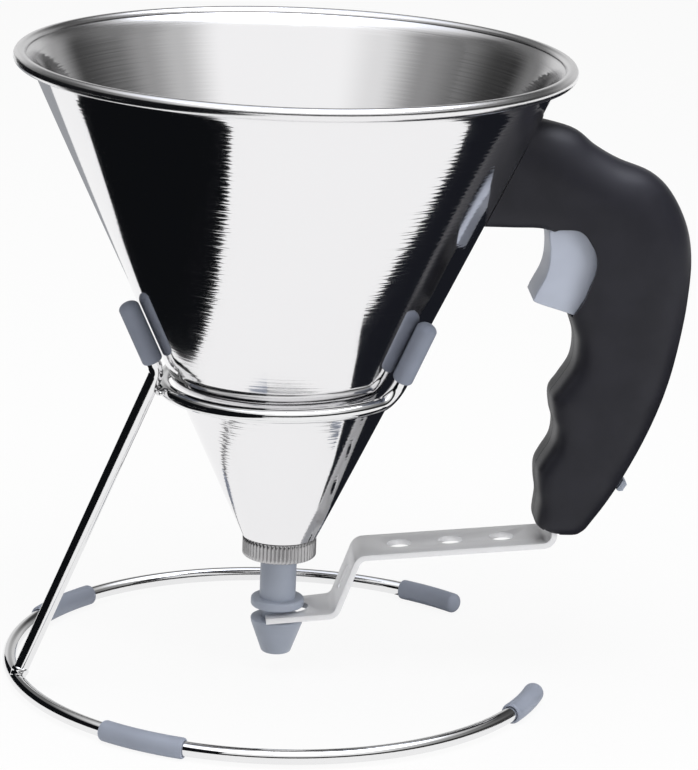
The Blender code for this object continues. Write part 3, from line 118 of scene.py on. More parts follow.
# Lever strip
STRIP_WIDTH = 23.0 * MM
STRIP_THICK = 2.0 * MM
FORK_END = 4.3 * MM
FORK_WIDTH = 20.6 * MM
FORK_PLAY = 2.2 * MM
FORK_RISE = math.radians(7.0)
FORK_SEAT = 1.8 * MM
RISER_FOOT = 20.3 * MM
RISER_TOP = 28.0 * MM
RISER_HEIGHT = 21.7 * MM
RUN_RISE = math.radians(5.2)
STRIP_BEND = 4.0 * MM
TAB_HEIGHT = 15.5 * MM
TAB_WIDTH = 18.0 * MM
FIRST_HOLE = 15.0 * MM
SLOT_LENGTH = 9.6 * MM
SLOT_WIDTH = 3.6 * MM
HOLE_SIDES = 64
STRIP_BEND_STEPS = 16
LEVER_SCREW_RADIUS = 1.5 * MM

# Handle
HANDLE_REACH = 74.8 * MM
HANDLE_SHARE = 0.861
NECK_FOOT_SHARE = 0.743
HANDLE_RISE = 6.3 * MM
HANDLE_HEIGHT = HANDLE_SHARE * (RIM_TOP - CONE_FOOT)
HANDLE_FOOT = CONE_FOOT + HANDLE_RISE
NECK_FOOT = HANDLE_FOOT + NECK_FOOT_SHARE * HANDLE_HEIGHT
HANDLE_WALL = 2.4 * MM
SKIN_EASE = 0.24 * MM       # drawn in, so that the smooth skin stays in the CAD box
SECTION_SIDES = 96
RIB_STEPS = 6
CAVITY_SIDES = 32
CAVITY_STEPS = 3
TRIM_SIDES = 256
# Shares are parts of the handle's reach and height. A rib has its front, its back,
# its depth as a part of the half depth, and how square its front and back are
RIB_SHARES = (
    ((-0.093, 0.7315), (0.164, 0.991), 0.86, 6.0, 2.6),
    ((0.108, 0.7315), (0.387, 0.965), 0.86, 6.0, 2.3),
    ((0.255, 0.7315), (0.504, 0.924), 0.88, 6.0, 2.2),
    ((0.312, 0.717), (0.617, 0.893), 0.90, 5.5, 2.2),
    ((0.326, 0.683), (0.772, 0.863), 0.93, 5.0, 2.2),
    ((0.333, 0.647), (0.874, 0.816), 0.95, 5.0, 2.3),
    ((0.351, 0.600), (0.955, 0.737), 0.98, 5.0, 2.3),
    ((0.386, 0.550), (0.985, 0.654), 0.99, 5.0, 2.3),
    ((0.422, 0.503), (0.978, 0.554), 1.00, 5.0, 2.3),
    ((0.447, 0.460), (0.956, 0.467), 1.00, 5.0, 2.3),
    ((0.439, 0.403), (0.928, 0.391), 1.00, 5.0, 2.35),
    ((0.385, 0.355), (0.899, 0.334), 1.00, 5.0, 2.4),
    ((0.347, 0.324), (0.871, 0.290), 1.00, 5.0, 2.4),
    ((0.353, 0.283), (0.842, 0.251), 0.99, 5.0, 2.4),
    ((0.370, 0.250), (0.814, 0.218), 0.99, 5.0, 2.4),
    ((0.361, 0.208), (0.784, 0.185), 0.98, 5.0, 2.4),
    ((0.316, 0.167), (0.748, 0.149), 0.97, 5.0, 2.5),
    ((0.296, 0.142), (0.722, 0.124), 0.97, 5.0, 2.5),
    ((0.298, 0.107), (0.692, 0.098), 0.97, 5.0, 2.6),
    ((0.308, 0.070), (0.636, 0.055), 0.95, 4.5, 2.8),
    ((0.300, 0.018), (0.577, 0.016), 0.93, 4.0, 3.0),
    ((0.322, 0.001), (0.557, 0.003), 0.86, 3.6, 3.2),
    ((0.355, -0.008), (0.533, -0.008), 0.75, 3.2, 3.2),
)
CUTOUT_SHARES = (
    (0.180, 0.7295), (0.300, 0.7295), (0.338, 0.7365), (0.412, 0.738),
    (0.452, 0.728), (0.482, 0.708), (0.508, 0.684), (0.517, 0.659),
    (0.510, 0.631), (0.489, 0.602), (0.471, 0.575), (0.447, 0.550),
    (0.405, 0.516), (0.240, 0.490), (0.180, 0.505),
)
CUTOUT_CURVE = 12           # of its points lie on the smooth side
CUTOUT_STEPS = 5
GRIP_SCREW_SHARES = ((0.805, 0.690), (0.765, 0.392), (0.680, 0.200))
NECK_SCREW_SHARES = ((0.165, 0.830), (0.320, 0.868))
SCREW_BOSS = 3.8 * MM
SCREW_HEAD_RADIUS = 2.8 * MM
SCREW_HEAD_THICK = 1.8 * MM
SCREW_RADIUS = 1.5 * MM
SCREW_HEAD_SINK = 3.6 * MM
SCREW_TIP_COVER = 3.2 * MM
SCREW_PITCH = 0.7 * MM
THREAD_DEPTH = 0.12 * MM
SCREW_SIDES = 40
SCREW_DOME_SHARE = 0.55     # of the head's thickness is domed
SCREW_DOME_STEPS = 8
CROSS_SHARE = 0.62          # of the head's radius, for the arms of its cross
CROSS_HALF_WIDTH = 0.34 * MM
CROSS_DEPTH = 1.0 * MM
BRACKET_HALF_WIDTH = 8.0 * MM

# Trigger, its pivot and the lever's pivot
TRIGGER_HALF_WIDTH = 9.9 * MM
TRIGGER_SWING = math.radians(10.5)
TRIGGER_PIVOT_SHARES = (0.536, 0.784)
TRIGGER_SHARES = (
    (0.296, 0.738), (0.301, 0.686), (0.300, 0.651), (0.286, 0.620),
    (0.256, 0.589), (0.239, 0.570), (0.245, 0.558), (0.367, 0.539),
    (0.460, 0.527), (0.520, 0.550), (0.562, 0.600), (0.590, 0.648),
    (0.603, 0.700), (0.602, 0.760), (0.596, 0.800), (0.560, 0.825),
    (0.510, 0.820), (0.440, 0.786), (0.380, 0.757),
)
TRIGGER_STEPS = 4
TRIGGER_FACE = 3.0 * MM
TRIGGER_ROUND_STEPS = 5
WELL_GAP = 0.6 * MM
PIVOT_RADIUS = 2.0 * MM
PIVOT_BOSS = 4.2 * MM
ROD_PIN_RADIUS = 1.2 * MM
ROD_THICK = 2.4 * MM
LEVER_PIVOT_SHARES = (0.537, 0.0757)
CARRIER_HALF_WIDTH = 6.5 * MM
LEVER_SWING = math.radians(4.72)
TAB_SETBACK_SHARE = 0.1444

# Selector
SELECTOR_SHARES = (0.699, 0.104)
SELECTOR_TRAVEL = 6.0 * MM
SELECTOR_SLOPE = math.radians(59.0)
SELECTOR_NUB = 4.4 * MM
SELECTOR_NUB_RISE = 3.0 * MM
SELECTOR_NUB_WIDTH = 5.0 * MM
SELECTOR_STEM = 2.6 * MM
SELECTOR_PLATE = 1.4 * MM
SELECTOR_PLATE_LENGTH = 6.0 * MM
SELECTOR_PLATE_WIDTH = 8.0 * MM
SELECTOR_RIDGES = 4
SELECTOR_GROOVE = 0.22 * MM
SELECTOR_EDGE = 0.3 * MM
SELECTOR_TAPER = 0.6        # of the nub's length is left at its top
SELECTOR_SHOULDER = 0.62    # of its rise is upright

# Wire stand
BASE_RING_RADIUS = 95.1 * MM
STAND_TURN = math.radians(12.0)
BASE_HALF_GAP = math.radians(30.5)
BASE_SLEEVE_TURN = math.radians(47.5)
SLEEVE_LENGTH = 31.6 * MM
CAP_LENGTH = 26.0 * MM
MOUTH_REACH = 1.0 * MM
MOUTH_DROP = 0.55 * MM
SLEEVE_LIP = 0.25 * MM
DOME_SHARE = 0.62
DOME_STEPS = 10
MOUTH_STEPS = 6
UPPER_RING_HEIGHT = 107.6 * MM
UPPER_RING_DIP = 1.4 * MM
UPPER_RING_CLEARANCE = 1.2 * MM
PRONG_SPREAD = math.radians(48.5)
PRONG_RISE = 28.1 * MM
PRONG_BEND = 7.0 * MM
PRONG_SLEEVE_LENGTH = 23.6 * MM
LEG_BEND_RADIUS = 6.0 * MM
LEG_RISE = 1.2 * MM
LEG_CLEARANCE = 0.85 * MM
LEG_TURN = math.radians(2.5)
CAP_END = 1.8 * MM
FOOT_WELD = (1.5, 1.12)     # reach and radius of a weld, in radii of the wire
RING_WELD = (1.4, 0.55)
RING_STEP = math.radians(1.5)
BEND_STEPS = 14
SLEEVE_SIDES = 40
SLEEVE_STEPS = 22
SLEEVE_SEAT = 3.67 * MM     # of the base ring's wire above the table
PRONG_TOP = UPPER_RING_HEIGHT + PRONG_RISE

# The camera, fitted to the photograph
IMAGE_HEIGHT = 770
FOCAL_PIXELS = 3582.4
CAMERA_DISTANCE = 1.2575
CAMERA_AIM_HEIGHT = 0.1211
CAMERA_ELEVATION = math.radians(15.03)
CAMERA_TURN = math.radians(3.0)
CAMERA_ROLL = math.radians(2.05)
CAMERA_ASIDE = (-64.0, -38.9)
SENSOR = 36.0
CAMERA_CLIP = 0.05

# Studio
FLOOR_REACH = 3.0
FLOOR_DROP = 0.02 * MM
CARD_LIFT = 0.05 * MM
LAMP_AIM = (0.0, 0.0, 0.12)
WHITE = (1.0, 1.0, 1.0, 1.0)


# Settings that a user may change

def amount(name, text, value, **limits):
    return FloatProperty(name=name, description=text, default=value, min=0.0, **limits)


def length(name, text, value):
    return amount(name, text, value, unit="LENGTH", subtype="DISTANCE", precision=5)


def colour(name, text, value):
    return FloatVectorProperty(name=name, description=text, default=value, size=3,
                               min=0.0, max=1.0, subtype="COLOR")


def number(name, text, value, least):
    return IntProperty(name=name, description=text, default=value, min=least)


class ConeSettings(bpy.types.PropertyGroup):
    sheet: length("Sheet", "Thickness of the spun sheet", SHEET)
    sides: number("Sides", "Facets round the cone", 320, 32)
    turning_pitch: length("Turning pitch", "From one spinning line to the next", 1.5 * MM)
    turning_depth: length("Turning depth", "Height of the spinning lines", 0.011 * MM)
    steel: colour("Steel", "Colour of the polished steel", (0.87, 0.865, 0.875))
    inside: colour("Inside", "Colour of the brushed steel", (0.94, 0.94, 0.945))


class OutletSettings(bpy.types.PropertyGroup):
    flutes: number("Flutes", "Flutes round the nut", 54, 8)
    flute_depth: length("Flute depth", "Depth of the nut's flutes", 0.5 * MM)
    flute_facets: number("Flute facets", "Facets across one flute", 8, 2)
    nozzle_grey: colour("Nozzle grey", "Colour of the nozzle", (0.365, 0.40, 0.475))


class LeverSettings(bpy.types.PropertyGroup):
    width: length("Width", "Width of the strip", STRIP_WIDTH)
    thickness: length("Thickness", "Thickness of the strip", STRIP_THICK)
    hole_radius: length("Hole radius", "Radius of the round holes", 4.4 * MM)
    hole_spacing: length("Hole spacing", "From hole to hole", 18.3 * MM)
    holes: number("Holes", "Round holes in the strip", 3, 0)
    edge: length("Edge", "Rounding of the cut edges", 0.28 * MM)
    steel: colour("Steel", "Colour of the satin steel", (0.88, 0.88, 0.895))


class HandleSettings(bpy.types.PropertyGroup):
    half_depth: length("Half depth", "Half the grip's thickness", 15.3 * MM)
    seam: length("Seam", "Gap between the half shells", 0.3 * MM)
    edge: length("Trigger edge", "Rounding of the trigger's edges", 2.6 * MM)
    black: colour("Black", "Colour of the shells", (0.0175, 0.0175, 0.0235))
    trigger_grey: colour("Trigger grey", "Colour of the trigger", (0.50, 0.54, 0.64))


class StandSettings(bpy.types.PropertyGroup):
    wire_radius: length("Wire radius", "Radius of the wire", 2.6 * MM)
    wire_sides: number("Wire sides", "Facets round the wire", 40, 8)
    sleeve_radius: length("Sleeve radius", "Radius of the sleeves", 3.67 * MM)
    chrome: colour("Wire", "Colour of the polished wire", (0.84, 0.84, 0.845))
    sleeve_grey: colour("Sleeve grey", "Colour of the prongs' sleeves", (0.235, 0.26, 0.325))
    # A paler copy of the sleeve grey: painted light for the sleeves and caps that lie on the
    # table
    table_grey_lit: colour("Table grey", "Colour of the sleeves on the table",
                       (0.32, 0.35, 0.425))


class StageSettings(bpy.types.PropertyGroup):
    floor_white: colour("Floor", "Colour of the floor", (0.93, 0.93, 0.93))
    room_light: amount("Room light", "Light from all round", 0.42)
    key_light: amount("Key light", "Power of the key lamp", 17.0, unit="POWER")
    floor_glow: amount("Floor glow", "Share of the floor's white that is its own", 0.90,
                       max=1.0, subtype="FACTOR")


SETTINGS = {
    "funnel_cone_settings": ConeSettings,
    "funnel_outlet_settings": OutletSettings,
    "funnel_lever_settings": LeverSettings,
    "funnel_handle_settings": HandleSettings,
    "funnel_stand_settings": StandSettings,
    "funnel_stage_settings": StageSettings,
}


# Building in nodes

class Net:
    """Adds nodes to a tree; a node given as an input stands for its first output."""

    def __init__(self, tree):
        self.tree = tree

    def fill(self, node, inputs):
        for key, value in inputs.items():
            if isinstance(value, bpy.types.Node):
                value = value.outputs[0]
            if isinstance(value, bpy.types.NodeSocket):
                self.tree.links.new(value, node.inputs[key])
            else:
                node.inputs[key].default_value = value
        return node

    def add(self, kind, inputs=None, **settings):
        node = self.tree.nodes.new(kind)
        for key, value in settings.items():
            setattr(node, key, value)
        return self.fill(node, inputs or {})

    def math(self, operation, *values):
        return self.add("ShaderNodeMath", dict(enumerate(values)),
                        operation=operation).outputs[0]

    def vector(self, operation, inputs):
        return self.add("ShaderNodeVectorMath", inputs, operation=operation)

    def noise(self, **inputs):
        kind = "1D" if "W" in inputs else "3D"
        return self.add("ShaderNodeTexNoise", inputs, noise_dimensions=kind)

    def blend_of(self, share_of, first, second):
        node = self.add("ShaderNodeMix", data_type="RGBA")
        return self.fill(node, {0: share_of, 6: first, 7: second}).outputs[2]

    def spread(self, *values):
        """A value from one range, low and high, brought to another."""
        return self.add("ShaderNodeMapRange", dict(enumerate(values))).outputs[0]

    def split(self, vector):
        """A vector's parts, and its turn round the vertical."""
        parts = self.add("ShaderNodeSeparateXYZ", {0: vector}).outputs
        return parts, self.math("ARCTAN2", parts[1], parts[0])


def new_group(name, kind, inputs, outputs):
    """An empty node group with named sockets; gives its net, its inputs and its end."""
    tree = bpy.data.node_groups.new(name, kind)
    for label, socket, *value in inputs:
        made = tree.interface.new_socket(label, in_out="INPUT",
                                         socket_type="NodeSocket" + socket)
        if value:
            made.default_value = value[0]
    for label, socket in outputs:
        tree.interface.new_socket(label, in_out="OUTPUT", socket_type="NodeSocket" + socket)
    net = Net(tree)
    return net, net.add("NodeGroupInput").outputs, net.add("NodeGroupOutput")


def group_of(name, builder):
    """A shared node group, built on its first use."""
    return bpy.data.node_groups.get(name) or builder(name)


def turned_lines(name):
    """Lines of a lathe: noise that changes with the height alone."""
    net, ins, outs = new_group(
        name, "ShaderNodeTree",
        [("Vector", "Vector"), ("Pitch", "Float", MM), ("Waver", "Float", 0.0)],
        [("Height", "Float"), ("Fine", "Float")])
    parts, turn = net.split(ins["Vector"])
    waver = net.math("MULTIPLY", net.math("SINE", net.math("MULTIPLY", turn, 5.0)),
                     ins["Waver"])
    high = net.math("DIVIDE", net.math("ADD", parts[2], waver), ins["Pitch"])
    coarse = net.noise(W=high, Scale=0.8, Detail=2.0)
    shaken = net.math("MULTIPLY_ADD", coarse, 1.6, high)
    wave = net.math("SINE", net.math("MULTIPLY", shaken, 2 * math.pi))
    lines = net.math("MULTIPLY_ADD", wave, 0.4, net.math("MULTIPLY", coarse, 0.5))
    net.fill(outs, {"Height": lines, "Fine": net.noise(W=high, Scale=5.0, Detail=2.0)})
    return net.tree


def moulded_grain(name):
    """Fine even grain of a moulded or blasted surface."""
    net, ins, outs = new_group(
        name, "ShaderNodeTree", [("Vector", "Vector"), ("Size", "Float", MM)],
        [("Height", "Float"), ("Cloud", "Float")])
    scale = net.math("DIVIDE", 1.0, ins["Size"])
    broad = net.math("DIVIDE", scale, 28.0)
    net.fill(outs, {
        "Height": net.noise(Vector=ins["Vector"], Scale=scale, Detail=3.0, Roughness=0.62),
        "Cloud": net.noise(Vector=ins["Vector"], Scale=broad, Detail=2.0)})
    return net.tree


def handling_wear(name):
    """Soft smudges and a few fine scratches, as hands and cloths leave them."""
    net, ins, outs = new_group(
        name, "ShaderNodeTree",
        [("Vector", "Vector"), ("Size", "Float", 12 * MM), ("Amount", "Float", 0.5)],
        [("Smudge", "Float"), ("Scratch", "Float")])
    scale = net.math("DIVIDE", 1.0, ins["Size"])
    smudge = net.noise(Vector=ins["Vector"], Scale=scale, Detail=5.0, Distortion=0.6)
    stretched = net.vector("MULTIPLY", {0: ins["Vector"], 1: (1.0, 1.0, 0.06)})
    hair = net.noise(Vector=stretched, Scale=net.math("MULTIPLY", scale, 26.0), Detail=2.0)
    for label, mark, low in (("Smudge", smudge, 0.42), ("Scratch", hair, 0.66)):
        mask = net.spread(mark, low, 0.72, 0.0, 1.0)
        net.fill(outs, {label: net.math("MULTIPLY", mask, ins["Amount"])})
    return net.tree


# Materials

def start_material(name, base, metallic, roughness, **sockets):
    """A Principled material: its net, its shader, and places from the cone's axis."""
    material = bpy.data.materials.new(name)
    material.use_nodes = True
    net = Net(material.node_tree)
    shader = net.tree.nodes["Principled BSDF"]
    net.fill(shader, {"Base Color": (*base, 1.0), "Metallic": metallic,
                      "Roughness": roughness})
    net.fill(shader, {key.replace("_", " "): value for key, value in sockets.items()})
    place = net.add("ShaderNodeTexCoord")
    centred = net.add("ShaderNodeMapping", {
        "Vector": place.outputs["Object"], "Location": tuple(-SHIFT)})
    return net, shader, centred.outputs[0]


def use(net, builder, **inputs):
    """A shared node group in a material, with its inputs by name."""
    tree = group_of(builder.__name__, builder)
    return net.add("ShaderNodeGroup", inputs, node_tree=tree).outputs


def bump(net, shader, height, distance):
    net.fill(shader, {"Normal": net.add("ShaderNodeBump", {
        "Height": height, "Distance": distance, "Strength": 1.0})})


def mirror_steel(settings):
    """Outside of the cone: mirror bright, with the lines of spinning."""
    net, shader, where = start_material("mirror_steel", settings.steel, 1.0, 0.05)
    lines = use(net, turned_lines, Vector=where, Pitch=settings.turning_pitch,
                Waver=0.1 * MM)
    wear = use(net, handling_wear, Vector=where, Size=30 * MM, Amount=0.5)
    rough = net.math("ADD", net.spread(lines["Fine"], 0.3, 0.7, 0.035, 0.09),
                     net.math("MULTIPLY", wear["Smudge"], 0.05))
    height = net.split(where)[0][2]
    curl = net.spread(height, RIM_TOP - 7 * MM, RIM_TOP - 5 * MM, 0.0, 0.13)
    net.fill(shader, {"Roughness": net.math("ADD", rough, curl)})
    calm = net.math("MAXIMUM", net.spread(height, 105 * MM, 120 * MM, 1.0, 0.25),
                    net.spread(height, 125 * MM, 180 * MM, 0.25, 1.0))
    bump(net, shader, net.math("MULTIPLY", lines["Height"], calm), settings.turning_depth)


def brushed_steel(settings):
    """Inside of the cone: brushed round and round."""
    net, shader, where = start_material("brushed_steel", settings.inside, 1.0, 0.27,
                                        Anisotropic=0.75)
    tangent = net.add("ShaderNodeTangent", direction_type="RADIAL", axis="Z")
    lines = use(net, turned_lines, Vector=where, Pitch=1.6 * MM, Waver=0.05 * MM)
    rays = net.noise(W=net.split(where)[1], Scale=30.0, Detail=6.0, Roughness=0.62)
    rough = net.math("ADD", net.spread(lines["Fine"], 0.3, 0.7, 0.20, 0.35),
                     net.spread(rays, 0.3, 0.7, -0.04, 0.04))
    net.fill(shader, {"Tangent": tangent, "Roughness": rough})
    bump(net, shader, net.math("ADD", lines["Fine"], net.math("MULTIPLY", rays, 2.2)),
         0.014 * MM)


def grained(name, base, metallic, rough, grain, wear, smudge, along=(1.0, 1.0, 1.0),
            clouds=0.0, **sockets):
    """Blasted, drawn or moulded surface, changed a little where it is handled.

    rough: lowest and highest roughness; grain: size and depth in millimetres;
    wear: size in millimetres and amount; smudge: what wear adds to the roughness.
    """
    net, shader, where = start_material(name, base, metallic, rough[0], **sockets)
    fine = use(net, moulded_grain, Vector=net.vector("MULTIPLY", {0: where, 1: along}),
               Size=grain[0] * MM)
    worn = use(net, handling_wear, Vector=where, Size=wear[0] * MM, Amount=wear[1])
    if clouds:
        deep, pale = ((*(min(1.0, part * turn) for part in base), 1.0)
                      for turn in (1 - clouds, 1 + clouds))
        cloud = net.spread(fine["Cloud"], 0.35, 0.65, 0.0, 1.0)
        net.fill(shader, {"Base Color": net.blend_of(cloud, deep, pale)})
    level = net.spread(fine["Height"], 0.3, 0.7, *rough)
    net.fill(shader, {"Roughness": net.math("ADD", level, net.math(
        "MULTIPLY", worn["Smudge"], smudge))})
    bump(net, shader, fine["Height"], grain[1] * MM)


def make_materials(scene):
    """Every finish, built once and found again by its name."""
    cone, outlet = scene.funnel_cone_settings, scene.funnel_outlet_settings
    lever, handle = scene.funnel_lever_settings, scene.funnel_handle_settings
    stand = scene.funnel_stand_settings
    mirror_steel(cone)
    brushed_steel(cone)
    grained("bright_wire", stand.chrome, 1.0, (0.03, 0.08), (0.9, 0.006), (16, 0.5), 0.05)
    satin = ((0.35, 0.012), (14, 0.6), 0.07)
    grained("ground_steel", lever.steel, 0.35, (0.30, 0.42), *satin, (1.0, 0.12, 1.0))
    grained("turned_steel", (0.52, 0.515, 0.52), 1.0, (0.24, 0.36), *satin, (1.0, 1.0, 0.3))
    grained("spring_wire", (0.42, 0.42, 0.44), 1.0, (0.24, 0.36), *satin)
    for name, base, rough, grain, clouds, sheen in (
            ("nozzle_plastic", outlet.nozzle_grey, 0.42, (0.5, 0.006), 0.04, 0.5),
            ("trigger_plastic", handle.trigger_grey, 0.38, (0.5, 0.006), 0.03, 0.5),
            ("grip_plastic", handle.black, 0.42, (0.42, 0.014), 0.10, 0.26),
            ("soft_sleeve", stand.sleeve_grey, 0.58, (0.6, 0.012), 0.06, 0.5),
            # The same sleeve plastic in a paler grey: painted light for the pieces on the
            # table
            ("table_sleeve_lit", stand.table_grey_lit, 0.58, (0.6, 0.012), 0.05, 0.5),
            ("seal_black", (0.03, 0.03, 0.033), 0.6, (0.5, 0.01), 0.1, 0.5)):
        grained(name, base, 0.0, (rough - 0.04, rough + 0.05), grain, (18, 0.7), -0.06,
                clouds=clouds, Specular_IOR_Level=sheen)


def finish_of(name):
    return bpy.data.materials[name]


# Building in meshes

def add_object(name, data):
    obj = bpy.data.objects.new(name, data)
    bpy.context.scene.collection.objects.link(obj)
    return obj


def mesh_of(name, bm):
    """A mesh from a bmesh, which is then let go."""
    mesh = bpy.data.meshes.new(name)
    bm.to_mesh(mesh)
    bm.free()
    return mesh


def plain_object(name, points, edges=()):
    """A mesh of bare points or edges."""
    mesh = bpy.data.meshes.new(name)
    mesh.from_pydata([tuple(point) for point in points], edges, [])
    return add_object(name, mesh)


def circle(sides, start=0.0):
    """Cosine and sine of even steps round a circle."""
    turns = [2 * math.pi * (i + start) / sides for i in range(sides)]
    return [(math.cos(turn), math.sin(turn)) for turn in turns]


def steps_of(start, end, count):
    """Even steps from start to end, both included."""
    return [start + (end - start) * i / count for i in range(count + 1)]


def bridge(bm, ring_a, ring_b):
    """Faces between two rings, either of which may be a single point."""
    count = max(len(ring_a), len(ring_b))
    for i in range(count):
        j = (i + 1) % count
        corners = []
        for ring, index in ((ring_a, i), (ring_a, j), (ring_b, j), (ring_b, i)):
            vert = ring[index % len(ring)]
            if vert not in corners:
                corners.append(vert)
        bm.faces.new(corners)


def skin(rings, closed=False):
    """A bmesh through rings of points, capped at its ends unless closed."""
    bm = bmesh.new()
    made = [[bm.verts.new(point) for point in ring] for ring in rings]
    for first, second in zip(made, made[1:]):
        bridge(bm, first, second)
    if closed:
        bridge(bm, made[-1], made[0])
    else:
        for ring in (made[0], made[-1]):
            if len(ring) > 2:
                bm.faces.new(ring)
    return bm


def make_object(name, bm):
    """An object from a bmesh, welded and with its faces turned out."""
    bmesh.ops.remove_doubles(bm, verts=bm.verts, dist=WELD)
    bmesh.ops.recalc_face_normals(bm, faces=bm.faces)
    return add_object(name, mesh_of(name, bm))


def turned(name, profile, sides=TURNED_SIDES, closed=True):
    """Turn a profile of (radius, height) points round the cone's axis."""
    round_steps = circle(sides)
    rings = [[(radius * u, radius * v, height) for u, v in round_steps] if radius
             else [(0, 0, height)] for radius, height in profile]
    return make_object(name, skin(rings, closed))


def prism(name, outline, low, high):
    """An outline in (x, z), drawn out along Y."""
    rings = [[(x, y, z) for x, z in outline] for y in (low, high)]
    return make_object(name, skin(rings))


def pin(name, centre, radius, low, high, axis="Y", sides=48):
    """A round bar along an axis; centre gives the other two coordinates."""
    spots = [(centre[0] + radius * u, centre[1] + radius * v) for u, v in circle(sides, 0.5)]
    place = {"X": lambda a, u, v: (a, u, v), "Y": lambda a, u, v: (u, a, v),
             "Z": lambda a, u, v: (u, v, a)}[axis]
    rings = [[place(along, u, v) for u, v in spots] for along in (low, high)]
    return make_object(name, skin(rings))


def block(name, low, high):
    """A box between two opposite corners."""
    outline = ((low[0], low[2]), (high[0], low[2]),
               (high[0], high[2]), (low[0], high[2]))
    return prism(name, outline, low[1], high[1])


def bake_modifiers(obj):
    """Replace an object's mesh by what its modifiers make of it."""
    depsgraph = bpy.context.evaluated_depsgraph_get()
    depsgraph.update()
    mesh = bpy.data.meshes.new_from_object(obj.evaluated_get(depsgraph))
    obj.modifiers.clear()
    old, obj.data = obj.data, mesh
    bpy.data.meshes.remove(old)


def modify(obj, kind, **settings):
    """One modifier, baked into the object's mesh."""
    modifier = obj.modifiers.new(kind.lower(), kind)
    for key, value in settings.items():
        setattr(modifier, key, value)
    bake_modifiers(obj)


def discard(*objects):
    for obj in objects:
        bpy.data.objects.remove(obj, do_unlink=True)


def combine(target, other, operation="DIFFERENCE", keep=False):
    """Cut, join or intersect an object with another, which then goes."""
    modify(target, "BOOLEAN", operation=operation, solver="EXACT", object=other)
    bm = bmesh.new()
    bm.from_mesh(target.data)
    bmesh.ops.dissolve_degenerate(bm, edges=bm.edges, dist=WELD)
    whole = bm.faces and all(len(edge.link_faces) == 2 for edge in bm.edges)
    bm.to_mesh(target.data)
    bm.free()
    if not whole:
        raise RuntimeError(f"{target.name} isn't one closed body after {other.name}")
    if not keep:
        discard(other)
    return target


def drill(target, place, radius, low, high, axis="Y"):
    """Cut a round hole."""
    combine(target, pin("hole", place, radius, low, high, axis))


def round_edges(obj, width, segments, limit):
    """Rounded edges on a closed body, where they turn by more than the limit."""
    modify(obj, "BEVEL", width=width, segments=segments, limit_method="ANGLE",
           angle_limit=math.radians(limit), harden_normals=False)


def smooth_between(values, step, steps):
    """A point of the smooth curve through a list of equal tuples."""
    index, part = divmod(step, steps)
    last = len(values) - 1
    if index >= last:
        return values[last]
    t = part / steps
    before = values[max(index - 1, 0)]
    start, end = values[index], values[index + 1]
    after = values[min(index + 2, last)]
    point = []
    for a, b, c, d in zip(before, start, end, after):
        bend = (2 * a - 5 * b + 4 * c - d) * t + (3 * b - a - 3 * c + d) * t * t
        point.append(b + ((c - a) + bend) * t / 2)
    return tuple(point)


def smooth_loop(points, steps):
    """A closed smooth outline through its corners."""
    looped = list(points[-2:]) + list(points) + list(points[:2])
    start = 2 * steps
    return [smooth_between(looped, start + i, steps) for i in range(len(points) * steps)]


def arc(before, corner, after, radius, steps):
    """Points of the rounding of a corner between its two neighbours."""
    corner = Vector(corner)
    back = (Vector(before) - corner).normalized()
    ahead = (Vector(after) - corner).normalized()
    half = back.angle(ahead) / 2
    reach = radius / math.tan(half)
    centre = corner + (back + ahead).normalized() * radius / math.sin(half)
    start, end = corner + back * reach - centre, corner + ahead * reach - centre
    turn = start.angle(end)
    mixed = [start * math.sin((1 - t) * turn) + end * math.sin(t * turn)
             for t in (i / steps for i in range(steps + 1))]
    return [centre + spot.normalized() * radius for spot in mixed]


def rounded_path(corners, radius, steps):
    """An open outline in (x, z) whose inner corners are rounded."""
    path = [Vector(corners[0])]
    for trio in zip(corners, corners[1:], corners[2:]):
        path += arc(*trio, radius, steps)
    return path + [Vector(corners[-1])]


def dress(obj, body, nodes, finishes=(), sharp=35, shift=True):
    """Put a finished piece in its place, hang it on its body and hide the CAD nodes that it
    stands for.
    """
    mesh = obj.data
    if shift:
        mesh.transform(Matrix.Translation(SHIFT))
    if finishes:
        mesh.materials.clear()
        for name in finishes:
            mesh.materials.append(finish_of(name))
    mesh.shade_smooth()
    mesh.set_sharp_from_angle(angle=math.radians(sharp))
    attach(obj, body)
    if nodes:
        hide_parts(*nodes)


def repaint(node, name):
    """Give a CAD node that stays its finish."""
    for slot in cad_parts[node].material_slots:
        slot.material = finish_of(name)


# Pieces made with geometry nodes

def apply_tree(obj, tree, values):
    """Run a geometry node tree on an object and keep the mesh that it makes."""
    modifier = obj.modifiers.new(tree.name, "NODES")
    modifier.node_group = tree
    for item in tree.interface.items_tree:
        if item.in_out == "INPUT" and item.name in values:
            modifier[item.identifier] = values[item.name]
    bake_modifiers(obj)


def end_of_tree(net, geometry, ins, outs):
    """The tree's end: real geometry, smooth, in its material."""
    smooth = net.add("GeometryNodeSetShadeSmooth", {"Geometry": geometry})
    real = net.add("GeometryNodeRealizeInstances", {"Geometry": smooth})
    net.fill(outs, {0: net.add("GeometryNodeSetMaterial", {
        "Geometry": real, "Material": ins["Material"]})})
    return net.tree


def wire_tree(name):
    """Round wire along a route of edges."""
    net, ins, outs = new_group(
        name, "GeometryNodeTree",
        [("Route", "Geometry"), ("Radius", "Float", MM), ("Sides", "Int", 24),
         ("Material", "Material")], [("Wire", "Geometry")])
    route = net.add("GeometryNodeMeshToCurve", {"Mesh": ins["Route"]})
    section = net.add("GeometryNodeCurvePrimitiveCircle", {
        "Resolution": ins["Sides"], "Radius": ins["Radius"]})
    tube = net.add("GeometryNodeCurveToMesh", {
        "Curve": route, "Profile Curve": section, "Fill Caps": True})
    return end_of_tree(net, tube, ins, outs)


